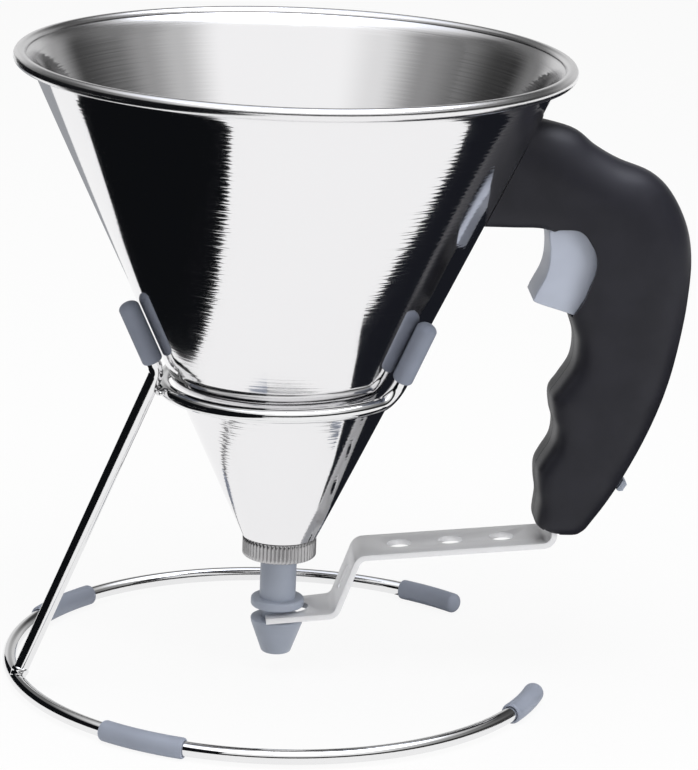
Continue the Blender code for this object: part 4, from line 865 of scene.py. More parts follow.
def flute_tree(name):
    """Even flutes pressed into whatever stands out past a root radius."""
    net, ins, outs = new_group(
        name, "GeometryNodeTree",
        [("Blank", "Geometry"), ("Flutes", "Int", 48), ("Depth", "Float", MM),
         ("Root", "Float", MM), ("Material", "Material")], [("Nut", "Geometry")])
    where = net.add("GeometryNodeInputPosition")
    turn = net.split(where)[1]
    wave = net.math("COSINE", net.math("MULTIPLY", turn, ins["Flutes"]))
    dip = net.math("POWER", net.math("MULTIPLY_ADD", wave, 0.5, 0.5), 1.6)
    flat = net.vector("MULTIPLY", {0: where, 1: (1.0, 1.0, 0.0)})
    reach = net.vector("LENGTH", {0: flat}).outputs["Value"]
    out = net.math("GREATER_THAN", reach, ins["Root"])
    push = net.math("MULTIPLY", net.math("MULTIPLY", dip, ins["Depth"]), out)
    move = net.vector("SCALE", {0: net.vector("NORMALIZE", {0: flat}),
                                "Scale": net.math("MULTIPLY", push, -1.0)})
    moved = net.add("GeometryNodeSetPosition", {"Geometry": ins["Blank"], "Offset": move})
    return end_of_tree(net, moved, ins, outs)


def screw_tree(name):
    """One screw on each point, all turned the same way."""
    net, ins, outs = new_group(
        name, "GeometryNodeTree",
        [("Places", "Geometry"), ("Screw", "Object"), ("Turn", "Vector"),
         ("Material", "Material")], [("Screws", "Geometry")])
    screw = net.add("GeometryNodeObjectInfo", {"Object": ins["Screw"]})
    placed = net.add("GeometryNodeInstanceOnPoints", {
        "Points": net.add("GeometryNodeMeshToPoints", {"Mesh": ins["Places"]}),
        "Instance": screw.outputs["Geometry"],
        "Rotation": net.add("FunctionNodeEulerToRotation", {0: ins["Turn"]})})
    return end_of_tree(net, placed, ins, outs)


# Cone

def wall_radius(height):
    """Outer radius of the cone's wall at a height."""
    return WALL_TOP_RADIUS - (CURL_HEIGHT - height) * WALL_SLOPE


def curl_point(radius, turn):
    """A point round the middle of the rolled rim."""
    centre = RIM_RADIUS - CURL_RADIUS
    return (centre + radius * math.cos(turn), CURL_HEIGHT + radius * math.sin(turn))


def build_cone(settings):
    """Spun cone with a rolled rim: mirror outside, brushed inside."""
    sheet = settings.sheet
    across = sheet / math.cos(CONE_HALF_ANGLE)
    stop = -math.pi + math.asin((sheet + CURL_SLIT) / CURL_RADIUS) + sheet / CURL_RADIUS
    turns = steps_of(math.pi, stop, CURL_STEPS)
    top = CURL_HEIGHT - CURL_RADIUS
    heights = steps_of(CONE_FOOT, top, CONE_RINGS)
    outside = [(wall_radius(height), height) for height in heights]
    outside += [curl_point(CURL_RADIUS - sheet, turn) for turn in turns]
    inside = [curl_point(CURL_RADIUS, turn) for turn in turns[::-1][:-1]]
    inside.append((WALL_TOP_RADIUS - sheet / 2, CURL_HEIGHT))
    inside += [(wall_radius(height) - across, height) for height in heights[::-1]]
    cone = turned("cone", outside + inside, settings.sides)
    brushed = top + CURL_RADIUS / 2
    for face in cone.data.polygons:
        middle = face.center
        inward = face.normal.dot(Vector((middle.x, middle.y, 0)).normalized()) < 0
        within = math.hypot(middle.x, middle.y) < wall_radius(middle.z) - sheet / 2
        face.material_index = 1 if inward and within and middle.z < brushed else 0
    dress(cone, "funnel", ("funnel_cone",),
          ("mirror_steel", "brushed_steel"))


def build_spout():
    """Turned outlet in the cone's foot."""
    across = (SHEET + GAP) / math.cos(CONE_HALF_ANGLE)
    step = CONE_FOOT + GAP
    top = CONE_FOOT + SPOUT_RISE
    bore = TUBE_RADIUS + GAP
    foot = node_box("spout_socket")[0].z
    spout = turned("spout", [
        (bore, foot), (SPIGOT_RADIUS - EDGE_ROUND / 2, foot),
        (SPIGOT_RADIUS, foot + EDGE_ROUND / 2), (SPIGOT_RADIUS, step),
        (wall_radius(step) - across, step), (wall_radius(top) - across, top),
        (bore + SPOUT_LIP, top - SPOUT_LIP / 2),
        (bore + SPOUT_LIP / 2, top - SPOUT_LIP * 0.72), (bore, top - SPOUT_LIP)])
    dress(spout, "funnel", ("spout_socket",), ("turned_steel",))


# Outlet

def build_nut(settings):
    """Ring nut whose outside is fluted by geometry nodes."""
    low, high = node_box("knurled_nut")
    radius = (high.y - low.y) / 2
    root = radius - settings.flute_depth
    inner = SPIGOT_RADIUS + GAP
    hole = TUBE_RADIUS + SLIDE_GAP
    chamfer = NUT_CHAMFER
    profile = [(hole, low.z), (root - chamfer, low.z), (root, low.z + chamfer / 3)]
    profile += [(radius, height) for height in
                steps_of(low.z + chamfer, high.z - chamfer, NUT_STEPS)]
    profile += [(root, high.z - chamfer / 3), (root - chamfer, high.z),
                (inner, high.z), (inner, low.z + NUT_FLOOR), (hole, low.z + NUT_FLOOR)]
    nut = turned("ring_nut", profile, settings.flutes * settings.flute_facets)
    apply_tree(nut, group_of("flutes", flute_tree), {
        "Flutes": settings.flutes, "Depth": settings.flute_depth,
        "Root": root + settings.flute_depth / 2, "Material": finish_of("turned_steel")})
    dress(nut, "nut", ("knurled_nut",), sharp=50)


def rounded_profile(corners, radius, steps=5):
    """A (radius, height) outline; a corner's third number scales its rounding."""
    made = []
    for i, corner in enumerate(corners):
        if len(corner) == 2:
            made.append(corner)
        else:
            made += [tuple(point) for point in arc(
                corners[i - 1][:2], corner[:2], corners[i + 1][:2],
                radius * corner[2], steps)]
    return made


def build_nozzle():
    """Nozzle: conical tip, flange, groove for the fork, tube and closed head."""
    low, high = node_box("nozzle")
    foot, top = low.z, high.z
    tip_top = foot + TIP_HEIGHT
    flange_foot = tip_top + GROOVE_HEIGHT
    flange_top = flange_foot + FLANGE_THICK
    seal = top - HEAD_THICK / 2 - GAP
    half = SEAL_SECTION + GAP
    groove = TUBE_RADIUS - SEAL_DEPTH
    bore_top = top - HEAD_THICK
    corners = [
        (0, bore_top), (NOZZLE_BORE, bore_top), (NOZZLE_BORE, foot, 0.8),
        (TIP_FOOT_RADIUS, foot, 1.6), (TIP_BAND_RADIUS, tip_top - TIP_BAND_HEIGHT),
        (FLANGE_RADIUS, tip_top, 1.0), (NECK_RADIUS, tip_top),
        (NECK_RADIUS, flange_foot), (FLANGE_RADIUS, flange_foot, 1.4),
        (FLANGE_RADIUS, flange_top, 1.4), (TUBE_RADIUS, flange_top),
        (TUBE_RADIUS, seal - half), (groove, seal - half), (groove, seal + half),
        (TUBE_RADIUS, seal + half), (TUBE_RADIUS, top, 1.0), (0, top),
    ]
    nozzle = turned("nozzle_body", rounded_profile(corners, EDGE_ROUND), closed=False)
    reach, width = TUBE_RADIUS + OVERRUN, PORT_WIDTH / 2
    for x, y in ((width, reach), (reach, width)):
        combine(nozzle, block("port", (-x, -y, bore_top - PORT_HEIGHT),
                              (x, y, bore_top - GAP)))
    dress(nozzle, "nozzle", ("nozzle",), ("nozzle_plastic",))


# Lever

def handle_point(shares):
    """A place in the handle's middle plane, from its shares."""
    return (wall_radius(NECK_FOOT) + shares[0] * HANDLE_REACH,
            HANDLE_FOOT + shares[1] * HANDLE_HEIGHT)


def lever_corners():
    """Middle line of the strip from its prongs to the tab in the handle."""
    height = node_box("nozzle")[0].z + TIP_HEIGHT + FORK_SEAT
    fork = (-FORK_END, height - FORK_END * math.tan(FORK_RISE))
    foot = (RISER_FOOT, height + RISER_FOOT * math.tan(FORK_RISE))
    top = (RISER_TOP, foot[1] + RISER_HEIGHT)
    tab = handle_point(LEVER_PIVOT_SHARES)[0] - TAB_SETBACK_SHARE * HANDLE_REACH
    knee = (tab, top[1] + (tab - RISER_TOP) * math.tan(RUN_RISE))
    return fork, foot, top, knee, (tab, knee[1] + TAB_HEIGHT)


def cut_hole(strip, outline, centre, slope):
    """Cut an outline through the strip, square to its slope there."""
    rings = [[(x, y, z) for x, y in outline] for z in (-OVERRUN, OVERRUN)]
    cutter = make_object("hole", skin(rings))
    turn = Matrix.Rotation(-slope, 4, "Y")
    cutter.data.transform(Matrix.Translation((centre.x, 0, centre.y)) @ turn)
    combine(strip, cutter)


def oblong(half_length, radius, sides):
    """An outline that is round at both ends."""
    outline = []
    for i in range(sides + 2):
        side = 1 if i <= sides / 2 else -1
        turn = -math.pi / 2 + 2 * math.pi * (i - (side < 0)) / sides
        outline.append((side * half_length + radius * math.cos(turn),
                        radius * math.sin(turn)))
    return outline


def build_lever(settings):
    """Bent strip with a fork, three round holes, one oblong hole, soft edges."""
    corners = lever_corners()
    path = rounded_path(corners, STRIP_BEND, STRIP_BEND_STEPS)
    last = len(path) - 1
    widths = {0: FORK_WIDTH, last: TAB_WIDTH}
    rings = []
    for i, point in enumerate(path):
        ahead = (path[min(i + 1, last)] - path[max(i - 1, 0)]).normalized()
        across = Vector((-ahead.y, ahead.x)) * settings.thickness / 2
        half = widths.get(i, settings.width) / 2
        over, under = point + across, point - across
        rings.append([(over.x, -half, over.y), (over.x, half, over.y),
                      (under.x, half, under.y), (under.x, -half, under.y)])
    strip = make_object("lever_strip", skin(rings))
    radius = NECK_RADIUS + GAP
    low, high = corners[0][1] - STRIP_BEND, corners[0][1] + STRIP_BEND
    end = FORK_PLAY + GROOVE_HEIGHT - settings.thickness / 2
    slot = block("slot", (-FORK_END - OVERRUN, -radius, low), (end, radius, high))
    combine(strip, combine(pin("round", (end, 0), radius, low, high, "Z", HOLE_SIDES),
                           slot, "UNION"))
    foot, top, knee = (Vector(corner) for corner in corners[1:4])
    along = (knee - top).normalized()
    ring = oblong(0.0, settings.hole_radius, HOLE_SIDES)
    ring = ring[:HOLE_SIDES // 2] + ring[HOLE_SIDES // 2 + 1:-1]
    for i in range(settings.holes):
        cut_hole(strip, ring, top + along * (FIRST_HOLE + i * settings.hole_spacing),
                 RUN_RISE)
    slope = math.atan2(top.y - foot.y, top.x - foot.x)
    cut_hole(strip, oblong((SLOT_LENGTH - SLOT_WIDTH) / 2, SLOT_WIDTH / 2, HOLE_SIDES // 2),
             (top + foot) / 2, slope)
    tab = corners[4][0]
    for node in ("lever_screw_left", "lever_screw_right"):
        low, high = node_box(node)
        drill(strip, ((low.y + high.y) / 2, (low.z + high.z) / 2),
              LEVER_SCREW_RADIUS + GAP, tab - OVERRUN, tab + OVERRUN, "X")
    round_edges(strip, settings.edge, 2, 50)
    dress(strip, "lever", ("lever_arm",), ("ground_steel",))


# Handle

def handle_loft(name, half_depth, inset, last, sides, steps):
    """The handle's whole body, drawn in by an inset, through its ribs."""
    ribs = [handle_point(front) + handle_point(back)
            + (depth * half_depth, front_power, back_power)
            for front, back, depth, front_power, back_power in RIB_SHARES[:last]]
    rings = []
    for step in range((len(ribs) - 1) * steps + 1):
        fx, fz, bx, bz, depth, front_power, back_power = smooth_between(ribs, step, steps)
        across = Vector((bx - fx, bz - fz)) / 2
        centre = Vector((bx + fx, bz + fz)) / 2
        half = across.length - inset
        across.normalize()
        ring = []
        for u, v in circle(sides, 0.5):
            power = back_power if u > 0 else front_power
            size = (abs(u) ** power + abs(v) ** power) ** (-1 / power)
            spot = centre + across * half * u * size
            ring.append((spot.x, (depth - inset) * v * size, spot.y))
        rings.append(ring)
    return make_object(name, skin(rings))


def handle_cavity(half_depth):
    """The hollow of the handle, less the bosses that stand in it."""
    cavity = handle_loft("cavity", half_depth, HANDLE_WALL, len(RIB_SHARES) - 2,
                         CAVITY_SIDES, CAVITY_STEPS)
    depth = half_depth + OVERRUN
    for shares in GRIP_SCREW_SHARES:
        drill(cavity, handle_point(shares), SCREW_BOSS, -depth, depth)
    pairs = [(shares, SCREW_BOSS, BRACKET_HALF_WIDTH + GAP) for shares in NECK_SCREW_SHARES]
    pairs += [(TRIGGER_PIVOT_SHARES, PIVOT_BOSS, TRIGGER_HALF_WIDTH + SLIDE_GAP + WELL_GAP),
              (LEVER_PIVOT_SHARES, PIVOT_BOSS, CARRIER_HALF_WIDTH + SLIDE_GAP)]
    for shares, radius, inner in pairs:
        for low, high in ((inner, depth), (-depth, -inner)):
            drill(cavity, handle_point(shares), radius, low, high)
    return cavity


def cone_trim():
    """The cone's outside and a gap, as a cutter for the neck."""
    grow = GAP / math.cos(CONE_HALF_ANGLE)
    low = NECK_FOOT - HANDLE_HEIGHT / 2
    high = CURL_HEIGHT + HANDLE_WALL
    profile = [(0, low), (wall_radius(low) + grow, low), (wall_radius(high) + grow, high),
               (0, high)]
    return turned("trim", profile, TRIM_SIDES, closed=False)


def turned_outline(outline, pivot, turn):
    """An outline turned about a pivot."""
    made = []
    for x, z in outline:
        u, v = x - pivot[0], z - pivot[1]
        made.append((pivot[0] + u * math.cos(turn) - v * math.sin(turn),
                     pivot[1] + u * math.sin(turn) + v * math.cos(turn)))
    return made


def grown_outline(outline, grow):
    """A closed outline grown all round."""
    after = outline[1:] + outline[:1]
    area = sum(a[0] * b[1] - b[0] * a[1] for a, b in zip(outline, after))
    sign = 1 if area > 0 else -1
    made = []
    for i, point in enumerate(outline):
        ahead = (Vector(after[i]) - Vector(outline[i - 1])).normalized()
        made.append(tuple(Vector(point) + Vector((ahead.y, -ahead.x)) * sign * grow))
    return made


def trigger_outline():
    return smooth_loop([handle_point(shares) for shares in TRIGGER_SHARES], TRIGGER_STEPS)


def selector_outline(points):
    """Points on the grip's back, given along its slide and out from it."""
    place = Vector(handle_point(SELECTOR_SHARES))
    slide = Vector((math.cos(SELECTOR_SLOPE), math.sin(SELECTOR_SLOPE)))
    out = Vector((slide.y, -slide.x))
    return [tuple(place + slide * along + out * off) for along, off in points]


def selector_box(name, start, end, low, high, half_width):
    """A box along the selector's slide, between two depths."""
    corners = ((start, low), (end, low), (end, high), (start, high))
    return prism(name, selector_outline(corners), -half_width, half_width)


def shell_cutters(side, half_depth):
    """Everything that is cut out of one half shell."""
    depth = half_depth + OVERRUN
    cutters = [cone_trim()]
    curve, rest = CUTOUT_SHARES[:CUTOUT_CURVE], CUTOUT_SHARES[CUTOUT_CURVE:]
    cutout = [smooth_between(curve, step, CUTOUT_STEPS)
              for step in range((len(curve) - 1) * CUTOUT_STEPS + 1)]
    cutters.append(prism("cutout", [handle_point(shares) for shares in cutout + list(rest)],
                         -depth, depth))
    well = grown_outline(trigger_outline(), WELL_GAP)
    for turn in (0.0, 0.5, 1.0):
        outline = turned_outline(well, handle_point(TRIGGER_PIVOT_SHARES),
                                 turn * TRIGGER_SWING)
        side_wall = TRIGGER_HALF_WIDTH + WELL_GAP + turn * GAP
        cutters.append(prism("well", outline, -side_wall, side_wall))
    corners = lever_corners()
    tab = corners[4][0]
    mouth = STRIP_THICK / 2 + 2 * SLIDE_GAP
    swing = TAB_HEIGHT * math.sin(LEVER_SWING) + 2 * SLIDE_GAP
    width = STRIP_WIDTH / 2 + SLIDE_GAP
    cutters.append(block("mouth", (tab - mouth - swing, -width, corners[3][1]),
                         (tab + mouth, width, HANDLE_FOOT + 2 * HANDLE_WALL)))
    head = half_depth - SCREW_HEAD_SINK
    for shares in GRIP_SCREW_SHARES + NECK_SCREW_SHARES:
        place = handle_point(shares)
        cutters.append(pin("hole", place, SCREW_RADIUS + GAP,
                           SCREW_TIP_COVER - half_depth, head))
        if side > 0:
            cutters.append(pin("sink", place, SCREW_HEAD_RADIUS + GAP,
                               head - SCREW_HEAD_THICK - GAP, depth))
    stem = SELECTOR_STEM / 2 + SLIDE_GAP
    cutters.append(selector_box("slot", -stem, SELECTOR_TRAVEL + stem,
                                -2 * HANDLE_WALL, OVERRUN, SELECTOR_STEM / 2 + GAP))
    plate = SELECTOR_PLATE_LENGTH / 2 + SLIDE_GAP
    cutters.append(selector_box("track", -plate, SELECTOR_TRAVEL + plate,
                                -3 * HANDLE_WALL, -HANDLE_WALL,
                                SELECTOR_PLATE_WIDTH / 2 + SLIDE_GAP))
    return cutters


def build_handle(settings):
    """Two moulded half shells that meet at a fine seam."""
    depth = settings.half_depth
    body = handle_loft("body", depth, SKIN_EASE, len(RIB_SHARES), SECTION_SIDES, RIB_STEPS)
    cavity = handle_cavity(depth)
    reach = wall_radius(NECK_FOOT) + 2 * HANDLE_REACH
    for name, node, side in (("grip_shell_near", "handle_shell_left", -1),
                             ("grip_shell_far", "handle_shell_right", 1)):
        shell = add_object(name, body.data.copy())
        low, high = sorted((side * settings.seam / 2, side * (depth + OVERRUN)))
        combine(shell, block("half", (0, low, 0), (reach, high, RIM_TOP + HANDLE_REACH)),
                "INTERSECT")
        combine(shell, cavity, keep=True)
        for cutter in shell_cutters(side, depth):
            combine(shell, cutter)
        dress(shell, "funnel", (node,), ("grip_plastic",), sharp=30)
    discard(body, cavity)


def build_trigger(settings):
    """Finger piece with well rounded edges and a slot for the rod."""
    body = prism("finger_trigger", trigger_outline(), -TRIGGER_HALF_WIDTH,
                 TRIGGER_HALF_WIDTH)
    round_edges(body, settings.edge, TRIGGER_ROUND_STEPS, 60)
    half = ROD_THICK / 2 + SLIDE_GAP
    face = handle_point(TRIGGER_SHARES[1])[0] + TRIGGER_FACE
    x, z = handle_point(TRIGGER_PIVOT_SHARES)
    for start, top in ((face, z - PIVOT_BOSS), (x + PIVOT_RADIUS + GAP, RIM_TOP)):
        combine(body, block("slot", (start, -half, HANDLE_FOOT),
                            (x + HANDLE_REACH, half, top)))
    reach = TRIGGER_HALF_WIDTH + OVERRUN
    low, high = node_box("rod_pin_upper")
    upper = ((low.x + high.x) / 2 - AXIS_X, (low.z + high.z) / 2)
    for place, radius in (((x, z), PIVOT_RADIUS), (upper, ROD_PIN_RADIUS)):
        drill(body, place, radius + GAP, -reach, reach)
    dress(body, "trigger", ("trigger",), ("trigger_plastic",))


def build_selector():
    """Small slider with a ridged nub."""
    nub, stem, rise = SELECTOR_NUB / 2, SELECTOR_STEM / 2, SELECTOR_NUB_RISE
    lift = 2 * SLIDE_GAP
    top, shoulder = nub * SELECTOR_TAPER, rise * SELECTOR_SHOULDER
    profile = [(-nub, lift), (nub, lift), (nub, shoulder), (top, rise)]
    for i, along in enumerate(steps_of(nub / 2, -nub / 2, 2 * SELECTOR_RIDGES)):
        profile.append((along, rise - (SELECTOR_GROOVE if i % 2 else 0.0)))
    profile += [(-top, rise), (-nub, shoulder)]
    body = prism("flow_slider", selector_outline(profile), -SELECTOR_NUB_WIDTH / 2,
                 SELECTOR_NUB_WIDTH / 2)
    round_edges(body, SELECTOR_EDGE, 2, 60)
    back = -HANDLE_WALL - 2 * SLIDE_GAP
    combine(body, selector_box("stem", -stem, stem, back - SELECTOR_PLATE / 2,
                               rise / 2, SELECTOR_STEM / 2), "UNION")
    plate = SELECTOR_PLATE_LENGTH / 2
    combine(body, selector_box("plate", -plate, plate, back - SELECTOR_PLATE, back,
                               SELECTOR_PLATE_WIDTH / 2), "UNION")
    dress(body, "selector", ("flow_selector",), ("nozzle_plastic",))


# Fasteners and linkage

def screw_blank(tip):
    """Pan head screw along +Z whose head's top is at the origin."""
    radius, thick, half_pitch = SCREW_HEAD_RADIUS, SCREW_HEAD_THICK, SCREW_PITCH / 2
    dome = thick * SCREW_DOME_SHARE
    profile = [(radius * math.sin(turn), -dome * (1 - math.cos(turn)))
               for turn in steps_of(0.0, math.pi / 2, SCREW_DOME_STEPS)]
    profile += [(radius, -thick), (SCREW_RADIUS, -thick)]
    for i in range(1, int((tip - thick) / half_pitch)):
        bite = THREAD_DEPTH if i % 2 else 0.0
        profile.append((SCREW_RADIUS - bite, -thick - i * half_pitch))
    profile.append((0, -tip))
    screw = turned("screw_blank", profile, SCREW_SIDES, closed=False)
    arm = radius * CROSS_SHARE
    for x, y in ((arm, CROSS_HALF_WIDTH), (CROSS_HALF_WIDTH, arm)):
        combine(screw, block("cross", (-x, -y, -CROSS_DEPTH), (x, y, CROSS_DEPTH)))
    return screw


def build_screws():
    """Screws of the handle and of the lever, set out by geometry nodes."""
    grip = ("grip_screw_top", "grip_screw_middle", "grip_screw_foot",
            "neck_screw_inner", "neck_screw_outer")
    lever = ("lever_screw_left", "lever_screw_right")
    quarter = math.pi / 2
    for name, body, nodes, turn in (("grip_screws", "funnel", grip, (-quarter, 0, 0)),
                                    ("lever_screws", "lever", lever, (0, -quarter, 0))):
        places = []
        for node in nodes:
            low, high = node_box(node)
            middle = (low + high) / 2
            if body == "funnel":
                places.append((middle.x, high.y, middle.z))
                tip = high.y - low.y
            else:
                places.append((low.x, middle.y, middle.z))
                tip = high.x - low.x
        blank = screw_blank(tip)
        screws = plain_object(name, places)
        apply_tree(screws, group_of("screws", screw_tree), {
            "Screw": blank, "Turn": turn, "Material": finish_of("turned_steel")})
        discard(blank)
        dress(screws, body, nodes, sharp=28, shift=False)


def paint_linkage():
    """Finishes of the CAD nodes that stay as they are."""
    for finish, nodes in (
            ("turned_steel", ("lever_carrier", "lever_pivot_pin", "trigger_pivot_pin",
                              "rod_pin_lower", "rod_pin_upper", "pull_rod")),
            ("ground_steel", ("mounting_bracket",)), ("spring_wire", ("return_spring",)),
            ("seal_black", ("spout_gasket", "nozzle_seal"))):
        for node in nodes:
            repaint(node, finish)


# Wire stand

def polar(radius, turn, height):
    return Vector((radius * math.cos(turn), radius * math.sin(turn), height))


class Wire:
    """A route through space with a frame carried along it."""

    def __init__(self, points, first_side):
        self.points = [Vector(point) for point in points]
        self.reach = [0.0]
        for start, end in zip(self.points, self.points[1:]):
            self.reach.append(self.reach[-1] + (end - start).length)
        self.length = self.reach[-1]
        self.frames = []
        side = Vector(first_side)
        last = len(self.points) - 1
        for i in range(last + 1):
            ahead = (self.points[min(i + 1, last)] - self.points[max(i - 1, 0)]).normalized()
            side = (side - ahead * side.dot(ahead)).normalized()
            self.frames.append((ahead, side))

    def frame(self, along):
        """Centre, side and cross directions at a length along the route."""
        index = 0
        while index < len(self.points) - 2 and self.reach[index + 1] < along:
            index += 1
        span = self.reach[index + 1] - self.reach[index]
        t = (along - self.reach[index]) / span
        centre = self.points[index].lerp(self.points[index + 1], t)
        ahead, side = (start.lerp(end, min(max(t, 0.0), 1.0)) for start, end in
                       zip(self.frames[index], self.frames[index + 1]))
        ahead.normalize()
        side = (side - ahead * side.dot(ahead)).normalized()
        return centre, side, ahead.cross(side)

    def sweep(self, name, stations, closed=False):
        """A round body through (length along the route, radius) stations."""
        rings = []
        for along, radius in stations:
            centre, side, cross = self.frame(along)
            rings.append([centre + radius * u * side + radius * v * cross
                          for u, v in circle(SLEEVE_SIDES, 0.5)] if radius else [centre])
        return make_object(name, skin(rings, closed))


def base_wire():
    """Route of the base ring, an open C."""
    start = STAND_TURN + BASE_HALF_GAP
    sweep = 2 * math.pi - 2 * BASE_HALF_GAP
    steps = round(sweep / RING_STEP)
    points = [polar(BASE_RING_RADIUS, start + sweep * i / steps, SLEEVE_SEAT)
              for i in range(steps + 1)]
    return Wire(points, polar(1, start, 0))


def prong_offset(sleeve_radius):
    """How far a prong's wire stands off the cone's wall."""
    return (sleeve_radius + GAP) / math.cos(CONE_HALF_ANGLE)


def ring_radius(wire_radius):
    """Radius of the upper ring's middle line."""
    return wall_radius(UPPER_RING_HEIGHT) + (
        wire_radius + UPPER_RING_CLEARANCE) / math.cos(CONE_HALF_ANGLE)


def dipped(radius, turn, height):
    """Point of the upper ring, which slopes down towards the leg."""
    lift = UPPER_RING_DIP * math.cos(turn - STAND_TURN)
    return polar(radius + lift * WALL_SLOPE, turn, height + lift)


def upper_wire(settings):
    """Route of the upper ring with a prong bent up at each end."""
    radius = ring_radius(settings.wire_radius)
    start = STAND_TURN + PRONG_SPREAD
    bend = PRONG_BEND / radius
    prong = [(0.0, PRONG_TOP), (0.0, (PRONG_TOP + UPPER_RING_HEIGHT + PRONG_BEND) / 2)]
    for turn in steps_of(0.0, math.pi / 2, BEND_STEPS):
        prong.append((bend * (1 - math.cos(turn)),
                      UPPER_RING_HEIGHT + PRONG_BEND * (1 - math.sin(turn))))
    outer = prong_offset(settings.sleeve_radius) - (radius - wall_radius(UPPER_RING_HEIGHT))
    points = []
    for aside, height in prong:
        part = min((height - UPPER_RING_HEIGHT) / PRONG_BEND, 1.0)
        reach = radius + (height - UPPER_RING_HEIGHT) * WALL_SLOPE
        points.append((reach + outer * part, start + aside, height))
    sweep = 2 * math.pi - 2 * (PRONG_SPREAD + bend)
    steps = round(sweep / (2 * RING_STEP))
    ring = [(radius, start + bend + sweep * i / steps, UPPER_RING_HEIGHT)
            for i in range(1, steps)]
    middle = 2 * (STAND_TURN + math.pi)
    mirrored = [(r, middle - turn, height) for r, turn, height in reversed(points)]
    route = [dipped(*point) for point in points + ring + mirrored]
    return Wire(route, polar(1, start, 0))


def leg_wire(settings):
    """Route of the leg, up from the base ring and into the left prong."""
    turn = STAND_TURN + math.pi + LEG_TURN
    offset = prong_offset(settings.sleeve_radius)
    end = PRONG_TOP + LEG_RISE
    top = (wall_radius(end) + offset, end)
    foot = Vector((BASE_RING_RADIUS, SLEEVE_SEAT))
    across = Vector((ring_radius(settings.wire_radius) - UPPER_RING_DIP * WALL_SLOPE,
                     UPPER_RING_HEIGHT - UPPER_RING_DIP)) - foot
    aside = math.asin((2 * settings.wire_radius + LEG_CLEARANCE) / across.length)
    slope = math.atan2(across.y, across.x) - aside
    lean = Vector((math.cos(slope), math.sin(slope)))
    apart = wall_radius(foot.y) + offset - foot.x
    bend = tuple(foot + lean * apart / (lean.x - WALL_SLOPE * lean.y))
    path = rounded_path([tuple(foot), bend, top], LEG_BEND_RADIUS, BEND_STEPS)
    points = [polar(point.x, turn, point.y) for point in path]
    return Wire(points, polar(1, turn, 0))


def build_wire(name, wire, settings):
    edges = [(i, i + 1) for i in range(len(wire.points) - 1)]
    piece = plain_object(name, wire.points, edges)
    apply_tree(piece, group_of("wire", wire_tree), {
        "Radius": settings.wire_radius, "Sides": settings.wire_sides,
        "Material": finish_of("bright_wire")})
    dress(piece, "stand", ("stand_" + name,), sharp=50)


def mouth_curve(radius):
    """Outside of a sleeve's rounded end, from its lip to its full radius."""
    return [(MOUTH_REACH * (1 - math.cos(turn)), radius - MOUTH_DROP * (1 - math.sin(turn)))
            for turn in steps_of(0.0, math.pi / 2, MOUTH_STEPS)]


def soft_piece(node, wire, stations, closed=False):
    """A sleeve or cap on a wire; those on the table get a paler copy of the sleeve grey,
    painted light from the floor.
    """
    finish = "table_sleeve_lit" if node.startswith("base") else "soft_sleeve"
    dress(wire.sweep(node + "_soft", stations, closed), "stand", (node,),
          (finish,))


def build_sleeve(node, wire, start, end, settings):
    """A soft sleeve on a wire, open at both ends."""
    radius, bore = settings.sleeve_radius, settings.wire_radius + GAP / 3
    ends = mouth_curve(radius)
    middle = end - start - 2 * MOUTH_REACH
    stations = [(start, bore + SLEEVE_LIP)] + [(start + along, size) for along, size in ends]
    stations += [(start + MOUTH_REACH + middle * i / SLEEVE_STEPS, radius)
                 for i in range(1, SLEEVE_STEPS)]
    stations += [(end - along, size) for along, size in reversed(ends)]
    stations += [(end, bore + SLEEVE_LIP), (end - SLEEVE_LIP, bore)]
    stations += [(end + (start - end) * i / SLEEVE_STEPS, bore)
                 for i in range(1, SLEEVE_STEPS)]
    stations.append((start + SLEEVE_LIP, bore))
    soft_piece(node, wire, stations, closed=True)


def build_cap(node, wire, mouth, tip, settings):
    """A soft cap on a wire's end: open at its mouth, domed at its tip."""
    radius, bore = settings.sleeve_radius, settings.wire_radius + GAP / 3
    sign = 1 if tip > mouth else -1
    span = abs(tip - mouth)
    dome = radius * DOME_SHARE
    outside = [(0.0, bore + SLEEVE_LIP)] + mouth_curve(radius)
    outside += [(MOUTH_REACH + (span - dome - MOUTH_REACH) * i / SLEEVE_STEPS, radius)
                for i in range(1, SLEEVE_STEPS + 1)]
    outside += [(span - dome * (1 - math.sin(turn)), radius * math.cos(turn))
                for turn in steps_of(0.0, math.pi / 2, DOME_STEPS)[1:-1]]
    outside.append((span, 0))
    floor = span - CAP_END + GAP
    inside = [(floor, 0), (floor, bore), (SLEEVE_LIP, bore)]
    soft_piece(node, wire, [(mouth + sign * along, size) for along, size in inside + outside])


def build_weld(name, centre, along, wire_radius, sizes):
    """A small bead of weld, drawn out along a direction."""
    reach, radius = (size * wire_radius for size in sizes)
    bm = bmesh.new()
    bmesh.ops.create_icosphere(bm, subdivisions=4, radius=1.0)
    turn = Vector(along).normalized().to_track_quat("Z", "Y").to_matrix()
    for vert in bm.verts:
        unit = vert.co.normalized()
        ripple = (1 + 0.06 * math.sin(9 * unit.z + 2 * unit.x)
                  + 0.05 * math.sin(7 * unit.x * unit.y))
        vert.co = Vector(centre) + turn @ Vector((
            unit.x * radius * ripple, unit.y * radius * ripple, unit.z * reach * ripple))
    dress(make_object(name, bm), "stand", (), ("bright_wire",))


